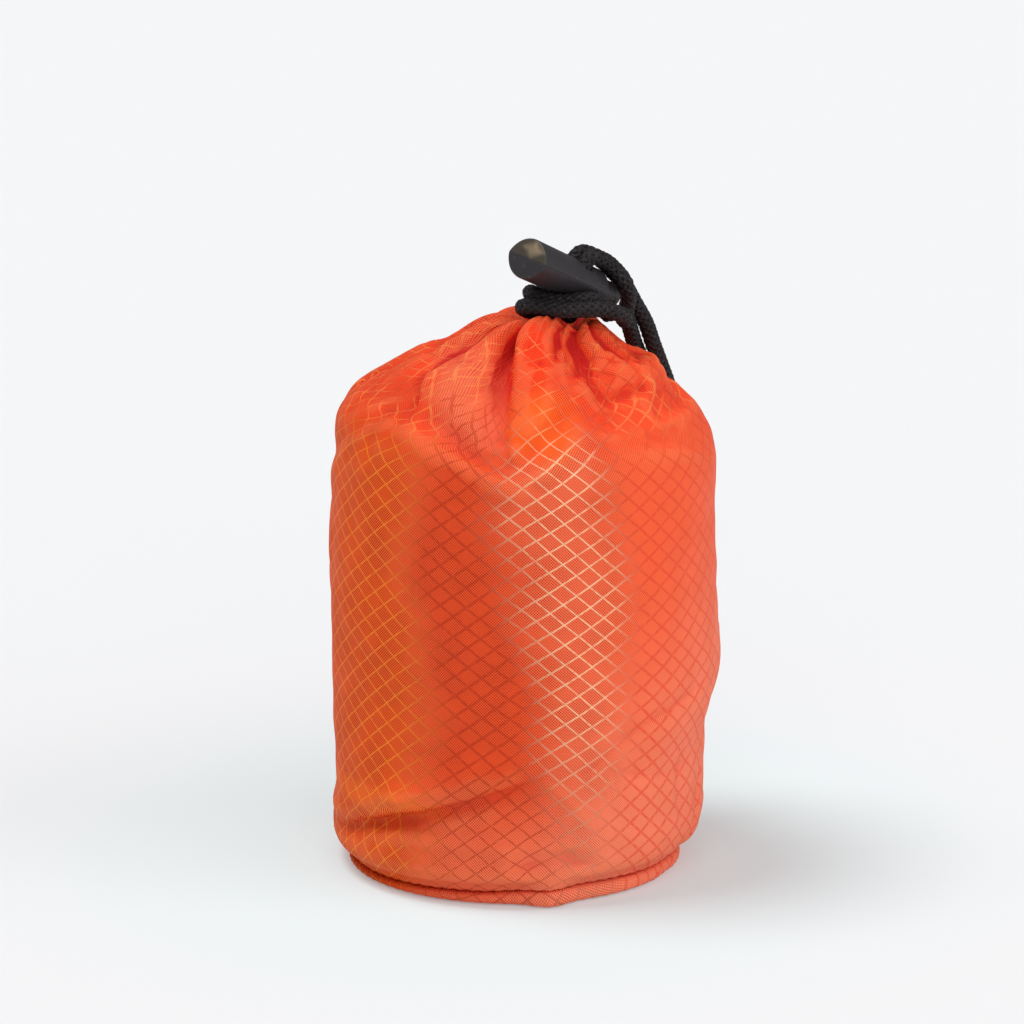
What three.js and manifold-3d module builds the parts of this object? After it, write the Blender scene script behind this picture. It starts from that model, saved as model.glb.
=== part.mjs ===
// A small drawstring stuff sack of ripstop nylon, packed full with a folded emergency
// sleeping bag and standing on its round base. The mouth is drawn shut in pleats by a
// doubled braided cord, which is held by a sprung cord lock.
// Millimetres, +Z up. The origin is on the floor under the middle of the sack, and the
// azimuth is 0 at the front (-Y), 90 on the right (+X) and 180 at the back.
import * as THREE from 'three';
import { mergeVertices } from 'three/addons/utils/BufferGeometryUtils.js';
import Module from 'manifold-3d';

// Driving dimensions
const WALL_COLUMNS = 108;
const PIECE_GAP = 0.32;

const CORD_DIAMETER = 2.8;
const CORD_SIDES = 8;
const CORD_STEPS = 44;

const BARREL_LENGTH = 18;
const BARREL_WIDTH = 10.2;
const BARREL_THICKNESS = 7.6;
const BARREL_TAPER = 0.95;
const BARREL_EDGE = 0.5;
const BORE_DEPTH = 14;
const BORE_WIDTH = 8.4;
const BORE_THICKNESS = 5.0;
const CORD_HOLE_CENTRE = 5.5;
const CORD_HOLE_WIDTH = 6.4;
const CORD_HOLE_LENGTH = 3.5;

const PLUNGER_TRAVEL = 2.4;
const PLUNGER_CLEARANCE = 0.3;
const PLUNGER_TONGUE = 2.2;
const PLUNGER_HEAD_THICKNESS = 1.3;
const PLUNGER_HEAD_WIDTH = 8.2;
const PLUNGER_HEAD_HEIGHT = 5.0;

const KNOT_WIDTH = 7.2;
const KNOT_HEIGHT = 8.0;
const KNOT_TAIL = 7.0;

// The middle of the lock's mouth, and the way that the closed end of the barrel points
const LOCK_MOUTH = new THREE.Vector3(12, 3, 106.1);
const LOCK_ALONG = new THREE.Vector3(-0.65, -0.61, 0.45).normalize();
const LOCK_ACROSS = new THREE.Vector3(0.65, -0.754, -0.083);

// The sack's sections, from the base seam to the shut mouth. Each row has its height, the
// middle of the section along X, and its reach from there to the left, right, front and back.
const SECTIONS = [
  { height: 2.0, middle: -1.8, left: 30.4, right: 30.2, front: 31.8, back: 29.8 },
  { height: 5.0, middle: -1.7, left: 32.4, right: 32.2, front: 33.8, back: 31.8 },
  { height: 10.7, middle: -1.2, left: 33.3, right: 33.6, front: 34.8, back: 33.5 },
  { height: 18.0, middle: -1.0, left: 33.6, right: 33.6, front: 35.0, back: 34.0 },
  { height: 24.0, middle: -0.7, left: 34.0, right: 34.0, front: 35.0, back: 34.3 },
  { height: 30.0, middle: 0.0, left: 34.9, right: 34.8, front: 34.9, back: 34.6 },
  { height: 41.0, middle: 0.0, left: 35.3, right: 35.4, front: 35.0, back: 35.0 },
  { height: 52.0, middle: -0.2, left: 35.3, right: 35.2, front: 35.2, back: 35.2 },
  { height: 63.0, middle: -0.4, left: 34.9, right: 34.9, front: 35.0, back: 34.8 },
  { height: 72.0, middle: -0.2, left: 34.9, right: 35.0, front: 34.8, back: 34.6 },
  { height: 77.0, middle: -0.2, left: 34.8, right: 34.9, front: 34.4, back: 34.2 },
  { height: 81.0, middle: -0.5, left: 34.0, right: 33.9, front: 33.2, back: 33.2 },
  { height: 84.5, middle: -1.2, left: 32.4, right: 32.2, front: 31.2, back: 31.6 },
  { height: 87.5, middle: -1.4, left: 30.2, right: 29.8, front: 28.8, back: 29.4 },
  { height: 90.3, middle: -1.1, left: 27.2, right: 27.5, front: 25.9, back: 26.6 },
  { height: 93.0, middle: -0.4, left: 24.0, right: 25.2, front: 22.6, back: 22.8 },
  { height: 95.6, middle: 0.6, left: 20.8, right: 21.8, front: 19.0, back: 19.0 },
  { height: 98.0, middle: 1.8, left: 17.6, right: 17.6, front: 15.4, back: 15.6 },
  { height: 100.0, middle: 2.8, left: 14.8, right: 14.0, front: 12.6, back: 13.0 },
  { height: 101.8, middle: 3.8, left: 11.8, right: 11.0, front: 10.4, back: 11.0 },
  { height: 102.5, middle: 4.6, left: 9.2, right: 8.8, front: 8.8, back: 9.2 },
  { height: 101.9, middle: 5.4, left: 7.4, right: 7.0, front: 7.2, back: 7.4 },
  { height: 100.4, middle: 6.2, left: 5.6, right: 5.2, front: 5.4, back: 5.6 },
  { height: 99.0, middle: 6.8, left: 3.4, right: 3.2, front: 3.4, back: 3.4 },
  { height: 98.4, middle: 7.0, left: 0.0, right: 0.0, front: 0.0, back: 0.0 },
];
const CREST_HEIGHT = 102.5;

// How many rows of the mesh lie between places in the table of sections
const BANDS = [
  { to: 1.5, rows: 2 },
  { to: 4.2, rows: 11 },
  { to: 9.0, rows: 5 },
  { to: 12.0, rows: 4 },
  { to: 20.0, rows: 14 },
  { to: 24.0, rows: 5 },
];

// How far the crest of the gathered mouth stands above or below its mean height
const CREST_LIFT = [
  { azimuth: -150, lift: -0.6 },
  { azimuth: -95, lift: -1.1 },
  { azimuth: -58, lift: -0.9 },
  { azimuth: -20, lift: 1.2 },
  { azimuth: 6, lift: 0.8 },
  { azimuth: 24, lift: 0.1 },
  { azimuth: 50, lift: -0.3 },
  { azimuth: 95, lift: -1.7 },
  { azimuth: 150, lift: -1.2 },
];

// The pleats of the mouth: the azimuth of each valley at the crest and at the shoulder, its
// depth and half width in degrees at both, and the height at which it runs out
const PLEATS = [
  { crest: -30, shoulder: -5, deep: 3.6, shallow: 4.2, narrow: 9, wide: 17, foot: 81.5 },
  { crest: 14, shoulder: 20, deep: 1.8, shallow: 0.5, narrow: 5, wide: 6, foot: 94.0 },
  { crest: 30, shoulder: 47, deep: 2.6, shallow: 2.4, narrow: 8, wide: 13, foot: 86.5 },
  { crest: 52, shoulder: 66, deep: 1.2, shallow: 0.5, narrow: 6, wide: 8, foot: 95.0 },
  { crest: 82, shoulder: 84, deep: 1.4, shallow: 0.5, narrow: 8, wide: 10, foot: 92.0 },
  { crest: 110, shoulder: 121, deep: 2.6, shallow: 3.6, narrow: 10, wide: 16, foot: 83.5 },
  { crest: 144, shoulder: 150, deep: 2.2, shallow: 1.2, narrow: 8, wide: 11, foot: 90.0 },
  { crest: 172, shoulder: 171, deep: 2.8, shallow: 2.6, narrow: 9, wide: 14, foot: 83.5 },
  { crest: 202, shoulder: 206, deep: 2.2, shallow: 1.4, narrow: 8, wide: 12, foot: 89.0 },
  { crest: 232, shoulder: 231, deep: 2.4, shallow: 2.2, narrow: 9, wide: 13, foot: 85.5 },
  { crest: 262, shoulder: 266, deep: 2.2, shallow: 1.5, narrow: 9, wide: 12, foot: 88.0 },
  { crest: 296, shoulder: 290, deep: 2.4, shallow: 2.2, narrow: 9, wide: 13, foot: 86.0 },
];
const PLEAT_TOP = 100.5;
const PLEAT_RUN_OUT = 5.0;

// The soft overhanging crease where the gathered top meets the filled body
const SHOULDER_LINE = [
  { azimuth: -135, height: 80 },
  { azimuth: -92, height: 75 },
  { azimuth: -68, height: 83 },
  { azimuth: -46, height: 88.5 },
  { azimuth: -24, height: 85 },
  { azimuth: -3, height: 81 },
  { azimuth: 13, height: 86 },
  { azimuth: 24, height: 89 },
  { azimuth: 38, height: 86 },
  { azimuth: 64, height: 82 },
  { azimuth: 90, height: 78.5 },
  { azimuth: 120, height: 82 },
  { azimuth: 150, height: 85 },
  { azimuth: 185, height: 81 },
];
const SHOULDER_DEPTH = 1.3;
const SHOULDER_WIDTH = 2.6;

// Creases across the filled body: each runs straight from one end to the other in azimuth and
// height, with its depth at both ends, its half width and the bulge on its upper side
const CREASES = [
  { from: -86, low: 8.0, to: -38, high: 15.6, start: 1.6, end: 1.4, width: 2.2, bulge: 0.7 },
  { from: -38, low: 15.6, to: 8, high: 25.8, start: 1.4, end: 0.1, width: 2.2, bulge: 0.8 },
  { from: 22, low: 26.8, to: 100, high: 33.0, start: 0.5, end: 1.1, width: 2.8, bulge: 0.5 },
  { from: 160, low: 22.0, to: 235, high: 15.0, start: 0.4, end: 1.3, width: 2.4, bulge: 0.8 },
  { from: 118, low: 60.0, to: 176, high: 66.0, start: 0.3, end: 0.8, width: 2.8, bulge: 0.4 },
];
const CREASE_END_FADE = 9;

// The pinched fold at the front of the base seam, and the dent to the right of it
const PINCH = { azimuth: 11, reach: 4.2, halfWidth: 7, top: 9 };
const SIDE_DENT = { azimuth: 66, depth: 1.4, halfWidth: 5, top: 17 };

// The base panel: height of its seam round the sack, and the round of its turned edge
const SEAM_HEIGHT = [
  { azimuth: -120, height: 1.4 },
  { azimuth: -60, height: 1.2 },
  { azimuth: -10, height: 2.0 },
  { azimuth: 12, height: 3.0 },
  { azimuth: 45, height: 2.7 },
  { azimuth: 100, height: 2.0 },
  { azimuth: 180, height: 1.6 },
];
const SEAM_MEAN = 2.0;
const SEAM_FADE = 12.0;
const BASE_EDGE = [
  { inset: 1.4, share: 0.0 },
  { inset: 0.4, share: 0.15 },
  { inset: 0.0, share: 0.45 },
  { inset: 0.2, share: 0.8 },
  { inset: 0.7, share: 1.0 },
];

const radians = THREE.MathUtils.degToRad;
const clamp01 = (value) => THREE.MathUtils.clamp(value, 0, 1);
const bell = (offset, halfWidth) => Math.exp(-((offset / halfWidth) ** 2));
const mix = THREE.MathUtils.lerp;

function catmull(before, start, end, after, share) {
  const m0 = (end - before) / 2;
  const m1 = (after - start) / 2;
  const s2 = share * share;
  const s3 = s2 * share;
  return (2 * s3 - 3 * s2 + 1) * start + (s3 - 2 * s2 + share) * m0
    + (3 * s2 - 2 * s3) * end + (s3 - s2) * m1;
}

// Reads a column of a table at a place between its rows
function between(rows, column, place) {
  const last = rows.length - 1;
  const index = Math.min(Math.floor(place), last - 1);
  const row = (i) => rows[THREE.MathUtils.clamp(i, 0, last)][column];
  return catmull(row(index - 1), row(index), row(index + 1), row(index + 2), place - index);
}

// Reads a column of a table whose rows go once round in azimuth
function around(rows, column, azimuth) {
  const count = rows.length;
  const first = rows[0].azimuth;
  const turn = first + THREE.MathUtils.euclideanModulo(azimuth - first, 360);
  let index = count - 1;
  while (rows[index].azimuth > turn) index -= 1;
  const start = rows[index].azimuth;
  const end = index === count - 1 ? first + 360 : rows[index + 1].azimuth;
  const row = (i) => rows[THREE.MathUtils.euclideanModulo(i, count)][column];
  const share = (turn - start) / (end - start);
  return catmull(row(index - 1), row(index), row(index + 1), row(index + 2), share);
}

const turnBetween = (a, b) => THREE.MathUtils.euclideanModulo(a - b + 180, 360) - 180;

// The reach of a section from its middle, towards an azimuth
function reach(level, azimuth) {
  const side = Math.sin(radians(azimuth));
  const ahead = Math.cos(radians(azimuth));
  const sideways = between(SECTIONS, side < 0 ? 'left' : 'right', level);
  const endways = between(SECTIONS, ahead > 0 ? 'front' : 'back', level);
  return sideways * side ** 2 + endways * ahead ** 2;
}

function pleatDepth(azimuth, height) {
  let depth = 0;
  for (const pleat of PLEATS) {
    const rise = clamp01((height - pleat.foot) / (PLEAT_TOP - pleat.foot));
    const centre = mix(pleat.shoulder, pleat.crest, rise);
    const halfWidth = mix(pleat.wide, pleat.narrow, rise);
    const full = mix(pleat.shallow, pleat.deep, rise);
    const fade = clamp01((height - pleat.foot + PLEAT_RUN_OUT) / (2 * PLEAT_RUN_OUT));
    depth += full * fade * fade * bell(turnBetween(azimuth, centre), halfWidth);
  }
  return depth;
}

function shoulderDepth(azimuth, height) {
  const above = height - around(SHOULDER_LINE, 'height', azimuth);
  const groove = SHOULDER_DEPTH * bell(above - SHOULDER_WIDTH / 2, SHOULDER_WIDTH);
  const roll = 0.5 * SHOULDER_DEPTH * bell(above + SHOULDER_WIDTH, SHOULDER_WIDTH);
  return groove - roll;
}

function creaseDepth(azimuth, height) {
  let depth = 0;
  for (const crease of CREASES) {
    const length = crease.to - crease.from;
    const along = THREE.MathUtils.euclideanModulo(azimuth - crease.from + 90, 360) - 90;
    const share = clamp01(along / length);
    const past = Math.max(-along, along - length, 0);
    const above = height - mix(crease.low, crease.high, share);
    const full = mix(crease.start, crease.end, share) * bell(past, CREASE_END_FADE);
    const groove = bell(above + crease.width / 2, crease.width);
    const roll = crease.bulge * bell(above - crease.width, crease.width * 1.5);
    depth += full * (groove - roll);
  }
  return depth;
}

function footReach(azimuth, height) {
  const pinch = PINCH.reach * bell(turnBetween(azimuth, PINCH.azimuth), PINCH.halfWidth);
  const dent = SIDE_DENT.depth * bell(turnBetween(azimuth, SIDE_DENT.azimuth), SIDE_DENT.halfWidth);
  return pinch * clamp01(1 - height / PINCH.top) ** 2 - dent * clamp01(1 - height / SIDE_DENT.top);
}

const seamLift = (azimuth) => around(SEAM_HEIGHT, 'height', azimuth) - SEAM_MEAN;

// A point of the sack's outside, at a place in the table of sections and an azimuth
function sackPoint(level, azimuth) {
  const step = 0.02;
  const height = between(SECTIONS, 'height', level);
  const radius = reach(level, azimuth);
  const lowLevel = Math.max(level - step, 0);
  const highLevel = Math.min(level + step, SECTIONS.length - 1);
  const rise = between(SECTIONS, 'height', highLevel) - between(SECTIONS, 'height', lowLevel);
  const run = reach(highLevel, azimuth) - reach(lowLevel, azimuth);
  const slope = Math.hypot(rise, run);
  const outward = rise / slope;
  const upward = -run / slope;
  const inMouth = level > CREST_LEVEL ? clamp01(radius / reach(CREST_LEVEL, azimuth)) : 1;
  const folds = (pleatDepth(azimuth, level > CREST_LEVEL ? CREST_HEIGHT : height)
    + shoulderDepth(azimuth, height) * inMouth) * inMouth ** 2 + creaseDepth(azimuth, height);
  const flat = radius + footReach(azimuth, height) - folds * outward;
  const nearCrest = clamp01((height - 88) / (CREST_HEIGHT - 88));
  const lift = around(CREST_LIFT, 'lift', azimuth) * nearCrest * inMouth;
  const foot = seamLift(azimuth) * clamp01((SEAM_FADE - height) / (SEAM_FADE - SEAM_MEAN));
  return new THREE.Vector3(
    between(SECTIONS, 'middle', level) + flat * Math.sin(radians(azimuth)),
    -flat * Math.cos(radians(azimuth)),
    height + lift + foot - folds * upward,
  );
}
const CREST_LEVEL = SECTIONS.findIndex((section) => section.height === CREST_HEIGHT);

function finished(geometry) {
  geometry.deleteAttribute('normal');
  geometry.deleteAttribute('uv');
  const merged = mergeVertices(geometry, 1e-4);
  merged.computeVertexNormals();
  return merged;
}

// A lathe of the given number of rows, whose points are then moved to pointAt(row, azimuth)
function foldedLathe(rows, columns, pointAt) {
  const profile = [];
  for (let row = 0; row <= rows; row += 1) {
    const turn = Math.PI * row / rows;
    profile.push(new THREE.Vector2(row === 0 || row === rows ? 0 : Math.sin(turn), -Math.cos(turn)));
  }
  const geometry = new THREE.LatheGeometry(profile, columns);
  const place = geometry.attributes.position;
  const share = geometry.attributes.uv;
  for (let i = 0; i < place.count; i += 1) {
    const row = Math.round(share.getY(i) * rows);
    const column = Math.round(share.getX(i) * columns) % columns;
    const point = pointAt(row, 360 * column / columns);
    place.setXYZ(i, point.x, point.y, point.z);
  }
  return finished(geometry);
}

function rowLevels() {
  const levels = [0];
  for (const band of BANDS) {
    const from = levels[levels.length - 1];
    for (let i = 1; i <= band.rows; i += 1) levels.push(mix(from, band.to, i / band.rows));
  }
  return levels;
}

// The filled wall: row 0 is the middle of its underside and row 1 its seam
function sackWall() {
  const levels = rowLevels();
  return foldedLathe(levels.length, WALL_COLUMNS, (row, azimuth) => {
    if (row === 0) return new THREE.Vector3(SECTIONS[0].middle, 0, SEAM_MEAN + PIECE_GAP / 2);
    const point = sackPoint(levels[row - 1], row === levels.length ? 0 : azimuth);
    if (row === 1) point.z += PIECE_GAP / 2;
    return point;
  });
}

// The base panel: flat below, its edge turned up to meet the wall at the seam
function sackBase() {
  const rows = BASE_EDGE.length + 1;
  const centre = SECTIONS[0].middle;
  return foldedLathe(rows, WALL_COLUMNS, (row, azimuth) => {
    if (row === 0) return new THREE.Vector3(centre, 0, 0);
    if (row === rows) return new THREE.Vector3(centre, 0, SEAM_MEAN - PIECE_GAP / 2);
    const edge = BASE_EDGE[row - 1];
    const rim = sackPoint(0, azimuth);
    const radius = Math.hypot(rim.x - centre, rim.y) - edge.inset;
    const top = SEAM_MEAN + seamLift(azimuth) - PIECE_GAP / 2;
    return new THREE.Vector3(
      centre + radius * Math.sin(radians(azimuth)),
      -radius * Math.cos(radians(azimuth)),
      top * edge.share,
    );
  });
}

const wasm = await Module();
wasm.setup();

function toSolid(geometry) {
  const merged = finished(geometry.clone());
  return new wasm.Manifold(new wasm.Mesh({
    numProp: 3,
    vertProperties: new Float32Array(merged.attributes.position.array),
    triVerts: new Uint32Array(merged.index.array),
  }));
}

function toGeometry(solid) {
  const mesh = solid.getMesh();
  const geometry = new THREE.BufferGeometry();
  geometry.setAttribute('position', new THREE.BufferAttribute(mesh.vertProperties, 3));
  geometry.setIndex(new THREE.BufferAttribute(mesh.triVerts, 1));
  geometry.computeVertexNormals();
  return geometry;
}

function ellipseBlock(width, thickness, from, to, segments) {
  const outline = new THREE.Shape();
  outline.absellipse(0, 0, width / 2, thickness / 2, 0, 2 * Math.PI);
  const block = new THREE.ExtrudeGeometry(outline, {
    depth: to - from, bevelEnabled: false, curveSegments: segments,
  });
  return block.translate(0, 0, from);
}

// A slot through the lock along its thickness, with round ends, for the two strands
function cordSlot(from, to, width) {
  const round = CORD_HOLE_LENGTH / 2;
  const half = width / 2;
  const outline = new THREE.Shape();
  outline.absarc(half - round, to - round, round, 0, Math.PI / 2);
  outline.absarc(round - half, to - round, round, Math.PI / 2, Math.PI);
  outline.absarc(round - half, from + round, round, Math.PI, 1.5 * Math.PI);
  outline.absarc(half - round, from + round, round, 1.5 * Math.PI, 2 * Math.PI);
  const block = new THREE.ExtrudeGeometry(outline, {
    depth: 2 * BARREL_THICKNESS, bevelEnabled: false, curveSegments: 5,
  });
  return block.rotateX(Math.PI / 2).translate(0, BARREL_THICKNESS, 0);
}

// The barrel's section is two shallow arcs that meet in a ridge on either side
function lockBarrel() {
  const half = BARREL_WIDTH / 2 - BARREL_EDGE;
  const rise = BARREL_THICKNESS / 2 - BARREL_EDGE;
  const radius = (half ** 2 + rise ** 2) / (2 * rise);
  const spread = Math.asin(half / radius);
  const outline = new THREE.Shape();
  outline.absarc(0, rise - radius, radius, Math.PI / 2 - spread, Math.PI / 2 + spread);
  outline.absarc(0, radius - rise, radius, 1.5 * Math.PI - spread, 1.5 * Math.PI + spread);
  const shell = new THREE.ExtrudeGeometry(outline, {
    depth: BARREL_LENGTH - 2 * BARREL_EDGE,
    bevelEnabled: true,
    bevelThickness: BARREL_EDGE,
    bevelSize: BARREL_EDGE,
    bevelSegments: 2,
    curveSegments: 12,
  }).translate(0, 0, BARREL_EDGE);
  const place = shell.attributes.position;
  for (let i = 0; i < place.count; i += 1) {
    const size = mix(BARREL_TAPER, 1, place.getZ(i) / BARREL_LENGTH);
    place.setXY(i, place.getX(i) * size, place.getY(i) * size);
  }
  const bore = ellipseBlock(BORE_WIDTH, BORE_THICKNESS, -1, BORE_DEPTH, 14);
  const from = CORD_HOLE_CENTRE - CORD_HOLE_LENGTH / 2;
  const slot = cordSlot(from, from + CORD_HOLE_LENGTH, CORD_HOLE_WIDTH);
  return toGeometry(toSolid(shell).subtract(toSolid(bore)).subtract(toSolid(slot)));
}

// The plunger's slot is longer than the barrel's by its travel, so the strands pass through
// both at every position
function lockPlunger() {
  const width = BORE_WIDTH - 2 * PLUNGER_CLEARANCE;
  const thickness = BORE_THICKNESS - 2 * PLUNGER_CLEARANCE;
  const inner = CORD_HOLE_CENTRE + CORD_HOLE_LENGTH / 2;
  const outer = inner - CORD_HOLE_LENGTH - PLUNGER_TRAVEL;
  const headUnder = -PLUNGER_TRAVEL - PLUNGER_CLEARANCE;
  const stem = ellipseBlock(width, thickness, headUnder - 0.5, inner + PLUNGER_TONGUE, 14);
  const head = ellipseBlock(PLUNGER_HEAD_WIDTH, PLUNGER_HEAD_HEIGHT,
    headUnder - PLUNGER_HEAD_THICKNESS, headUnder, 14);
  const slot = cordSlot(outer, inner, CORD_HOLE_WIDTH);
  return toGeometry(toSolid(stem).add(toSolid(head)).subtract(toSolid(slot)));
}

const lockFrame = new THREE.Matrix4();
const lockUp = new THREE.Vector3().crossVectors(LOCK_ALONG, LOCK_ACROSS).normalize();
const lockSide = new THREE.Vector3().crossVectors(lockUp, LOCK_ALONG).normalize();
lockFrame.makeBasis(lockSide, lockUp, LOCK_ALONG).setPosition(LOCK_MOUTH);
const inLock = (side, up, along) => new THREE.Vector3(side, up, along).applyMatrix4(lockFrame);

// A strand's turn round the mouth, in degrees from the front, and the heights along it
const WRAP_MIDDLE = new THREE.Vector2(8.65, 0);
const wrapPoint = (azimuth, radius, height) => new THREE.Vector3(
  WRAP_MIDDLE.x + radius * Math.sin(radians(azimuth)),
  WRAP_MIDDLE.y - radius * Math.cos(radians(azimuth)),
  height,
);

const STRAND_SPACING = 1.5;

function strandRoute(route) {
  return new THREE.CatmullRomCurve3(route, false, 'centripetal');
}

const routeA = [
  new THREE.Vector3(17.9, -1.2, 100.9),
  new THREE.Vector3(17.8, -2.9, 102.2),
  new THREE.Vector3(16.6, -5.2, 103.4),
  wrapPoint(42, 8.6, 104.3),
  wrapPoint(15, 8.3, 104.7),
  wrapPoint(-15, 8.8, 104.8),
  wrapPoint(-38, 9.2, 105.0),
  new THREE.Vector3(0.9, -5.9, 104.8),
  new THREE.Vector3(-0.4, -3.2, 104.0),
  new THREE.Vector3(0.5, -0.6, 102.8),
  new THREE.Vector3(2.6, 0.5, 102.1),
  new THREE.Vector3(4.6, -0.4, 102.6),
  inLock(-STRAND_SPACING, -3.6, CORD_HOLE_CENTRE),
  inLock(-STRAND_SPACING, 0, CORD_HOLE_CENTRE),
  inLock(-STRAND_SPACING, 3.2, CORD_HOLE_CENTRE),
  inLock(-1.4, 5.1, 4.5),
  inLock(-1.2, 5.5, 2.4),
  inLock(-1.0, 5.4, 0.0),
  new THREE.Vector3(15.9, 6.4, 108.3),
  new THREE.Vector3(18.2, 8.2, 105.2),
  new THREE.Vector3(20.1, 10.0, 101.4),
  new THREE.Vector3(22.0, 12.2, 97.4),
  new THREE.Vector3(23.4, 14.8, 92.8),
  new THREE.Vector3(25.0, 18.4, 87.6),
  new THREE.Vector3(26.3, 22.4, 82.8),
  new THREE.Vector3(26.4, 25.0, 78.6),
  new THREE.Vector3(25.8, 27.0, 72.0),
  new THREE.Vector3(24.4, 28.6, 60.0),
  new THREE.Vector3(23.2, 30.4, 48.4),
];

const routeB = [
  new THREE.Vector3(15.0, -0.3, 101.5),
  new THREE.Vector3(14.9, -1.6, 103.2),
  new THREE.Vector3(13.8, -3.1, 104.8),
  new THREE.Vector3(11.9, -4.7, 105.75),
  wrapPoint(10, 5.8, 105.9),
  wrapPoint(-20, 5.9, 105.5),
  new THREE.Vector3(4.2, -4.6, 105.7),
  new THREE.Vector3(1.6, -3.0, 106.35),
  new THREE.Vector3(1.0, -0.7, 106.1),
  new THREE.Vector3(2.9, 1.6, 105.0),
  new THREE.Vector3(5.3, 2.8, 103.7),
  new THREE.Vector3(7.5, 1.7, 102.3),
  new THREE.Vector3(8.1, -0.5, 101.8),
  new THREE.Vector3(7.6, -2.3, 102.9),
  inLock(STRAND_SPACING, -3.6, CORD_HOLE_CENTRE),
  inLock(STRAND_SPACING, 0, CORD_HOLE_CENTRE),
  inLock(STRAND_SPACING, 3.2, CORD_HOLE_CENTRE),
  inLock(1.7, 5.1, 4.5),
  inLock(1.9, 5.4, 2.4),
  inLock(2.1, 5.2, 0.2),
  new THREE.Vector3(18.1, 3.2, 107.7),
  new THREE.Vector3(19.0, 4.9, 104.4),
  new THREE.Vector3(18.4, 7.6, 100.2),
  new THREE.Vector3(19.2, 10.6, 96.5),
  new THREE.Vector3(19.9, 13.8, 93.4),
  new THREE.Vector3(21.0, 17.8, 89.6),
  new THREE.Vector3(21.0, 23.0, 86.6),
  new THREE.Vector3(21.4, 28.3, 81.9),
  new THREE.Vector3(20.8, 30.6, 74.0),
  new THREE.Vector3(20.0, 31.2, 64.0),
  new THREE.Vector3(19.4, 32.2, 48.4),
];

function strand(route) {
  const section = new THREE.Shape();
  for (let side = 0; side < CORD_SIDES; side += 1) {
    const turn = 2 * Math.PI * side / CORD_SIDES;
    const x = CORD_DIAMETER / 2 * Math.cos(turn);
    const y = CORD_DIAMETER / 2 * Math.sin(turn);
    if (side === 0) section.moveTo(x, y);
    else section.lineTo(x, y);
  }
  return finished(new THREE.ExtrudeGeometry(section, {
    steps: CORD_STEPS, bevelEnabled: false, extrudePath: strandRoute(route),
  }));
}

// The overhand knot that ties the strands' ends: a lumpy bead with two short tails
function cordKnot() {
  const profile = [];
  const count = 10;
  for (let row = 0; row <= count; row += 1) {
    const turn = Math.PI * row / count;
    const waist = 1 - 0.08 * Math.cos(4 * turn);
    const radius = row === 0 || row === count ? 0 : KNOT_WIDTH / 2 * Math.sin(turn) ** 0.7 * waist;
    profile.push(new THREE.Vector2(radius, -KNOT_HEIGHT / 2 * Math.cos(turn)));
  }
  let knot = toSolid(new THREE.LatheGeometry(profile, 16).rotateX(Math.PI / 2));
  for (const side of [-1, 1]) {
    const tail = new THREE.CylinderGeometry(CORD_DIAMETER / 2, CORD_DIAMETER / 2, KNOT_TAIL, CORD_SIDES);
    tail.rotateX(Math.PI / 2).rotateY(radians(-10 * side));
    tail.translate(side * 1.9, 0, -KNOT_HEIGHT / 2 - KNOT_TAIL / 2 + 2);
    knot = knot.add(toSolid(tail));
  }
  return toGeometry(knot);
}

const nylon = () => new THREE.MeshStandardMaterial({ color: 0xf0542a, roughness: 0.62 });
const braid = () => new THREE.MeshStandardMaterial({ color: 0x17161a, roughness: 0.85 });
const moulded = () => new THREE.MeshStandardMaterial({ color: 0x25272b, roughness: 0.45 });

function named(name, geometry, material) {
  const mesh = new THREE.Mesh(geometry, material);
  mesh.name = name;
  return mesh;
}

const group = new THREE.Group();
group.add(named('sack_wall', sackWall(), nylon()));
group.add(named('sack_base', sackBase(), nylon()));
group.add(named('drawcord_a', strand(routeA), braid()));
group.add(named('drawcord_b', strand(routeB), braid()));

const lock = new THREE.Group();
lock.add(named('lock_barrel', lockBarrel(), moulded()));
lock.add(named('lock_plunger', lockPlunger(), moulded()));
lock.applyMatrix4(lockFrame);
group.add(lock);

const knot = named('cord_knot', cordKnot(), braid());
knot.position.set(21.2, 33.4, 43.9);
group.add(knot);

export default group;
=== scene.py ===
"""A small drawstring stuff sack of orange ripstop nylon, packed full and standing on its base.

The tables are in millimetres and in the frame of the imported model: +Z is up, the front is -Y,
and an azimuth is 0 at the front, 90 on the right and 180 at the back.
"""

import math
from collections import namedtuple

import bmesh
import bpy
from bpy.props import FloatProperty, FloatVectorProperty, IntProperty, PointerProperty
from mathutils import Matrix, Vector, noise


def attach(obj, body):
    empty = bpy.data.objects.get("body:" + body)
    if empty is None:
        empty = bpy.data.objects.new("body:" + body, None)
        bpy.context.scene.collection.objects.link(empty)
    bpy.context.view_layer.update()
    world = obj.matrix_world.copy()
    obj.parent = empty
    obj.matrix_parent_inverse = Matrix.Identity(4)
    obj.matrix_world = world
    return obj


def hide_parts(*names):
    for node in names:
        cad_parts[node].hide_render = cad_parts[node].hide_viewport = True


bl_info = {
    "name": "Packed Drawstring Sack",
    "version": (1, 0, 0),
    "blender": (4, 5, 0),
    "location": "View3D > Sidebar > Sack",
    "description": "A small ripstop sack, packed full and drawn shut with a braided cord",
    "category": "Add Mesh",
}

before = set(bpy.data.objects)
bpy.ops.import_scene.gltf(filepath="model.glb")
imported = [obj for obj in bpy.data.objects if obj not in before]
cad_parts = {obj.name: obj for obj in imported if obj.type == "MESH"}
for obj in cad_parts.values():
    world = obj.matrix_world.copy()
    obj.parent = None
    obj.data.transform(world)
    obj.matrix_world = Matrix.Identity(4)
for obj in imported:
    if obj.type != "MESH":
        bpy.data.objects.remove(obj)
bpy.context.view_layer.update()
MM = 0.001

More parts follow.
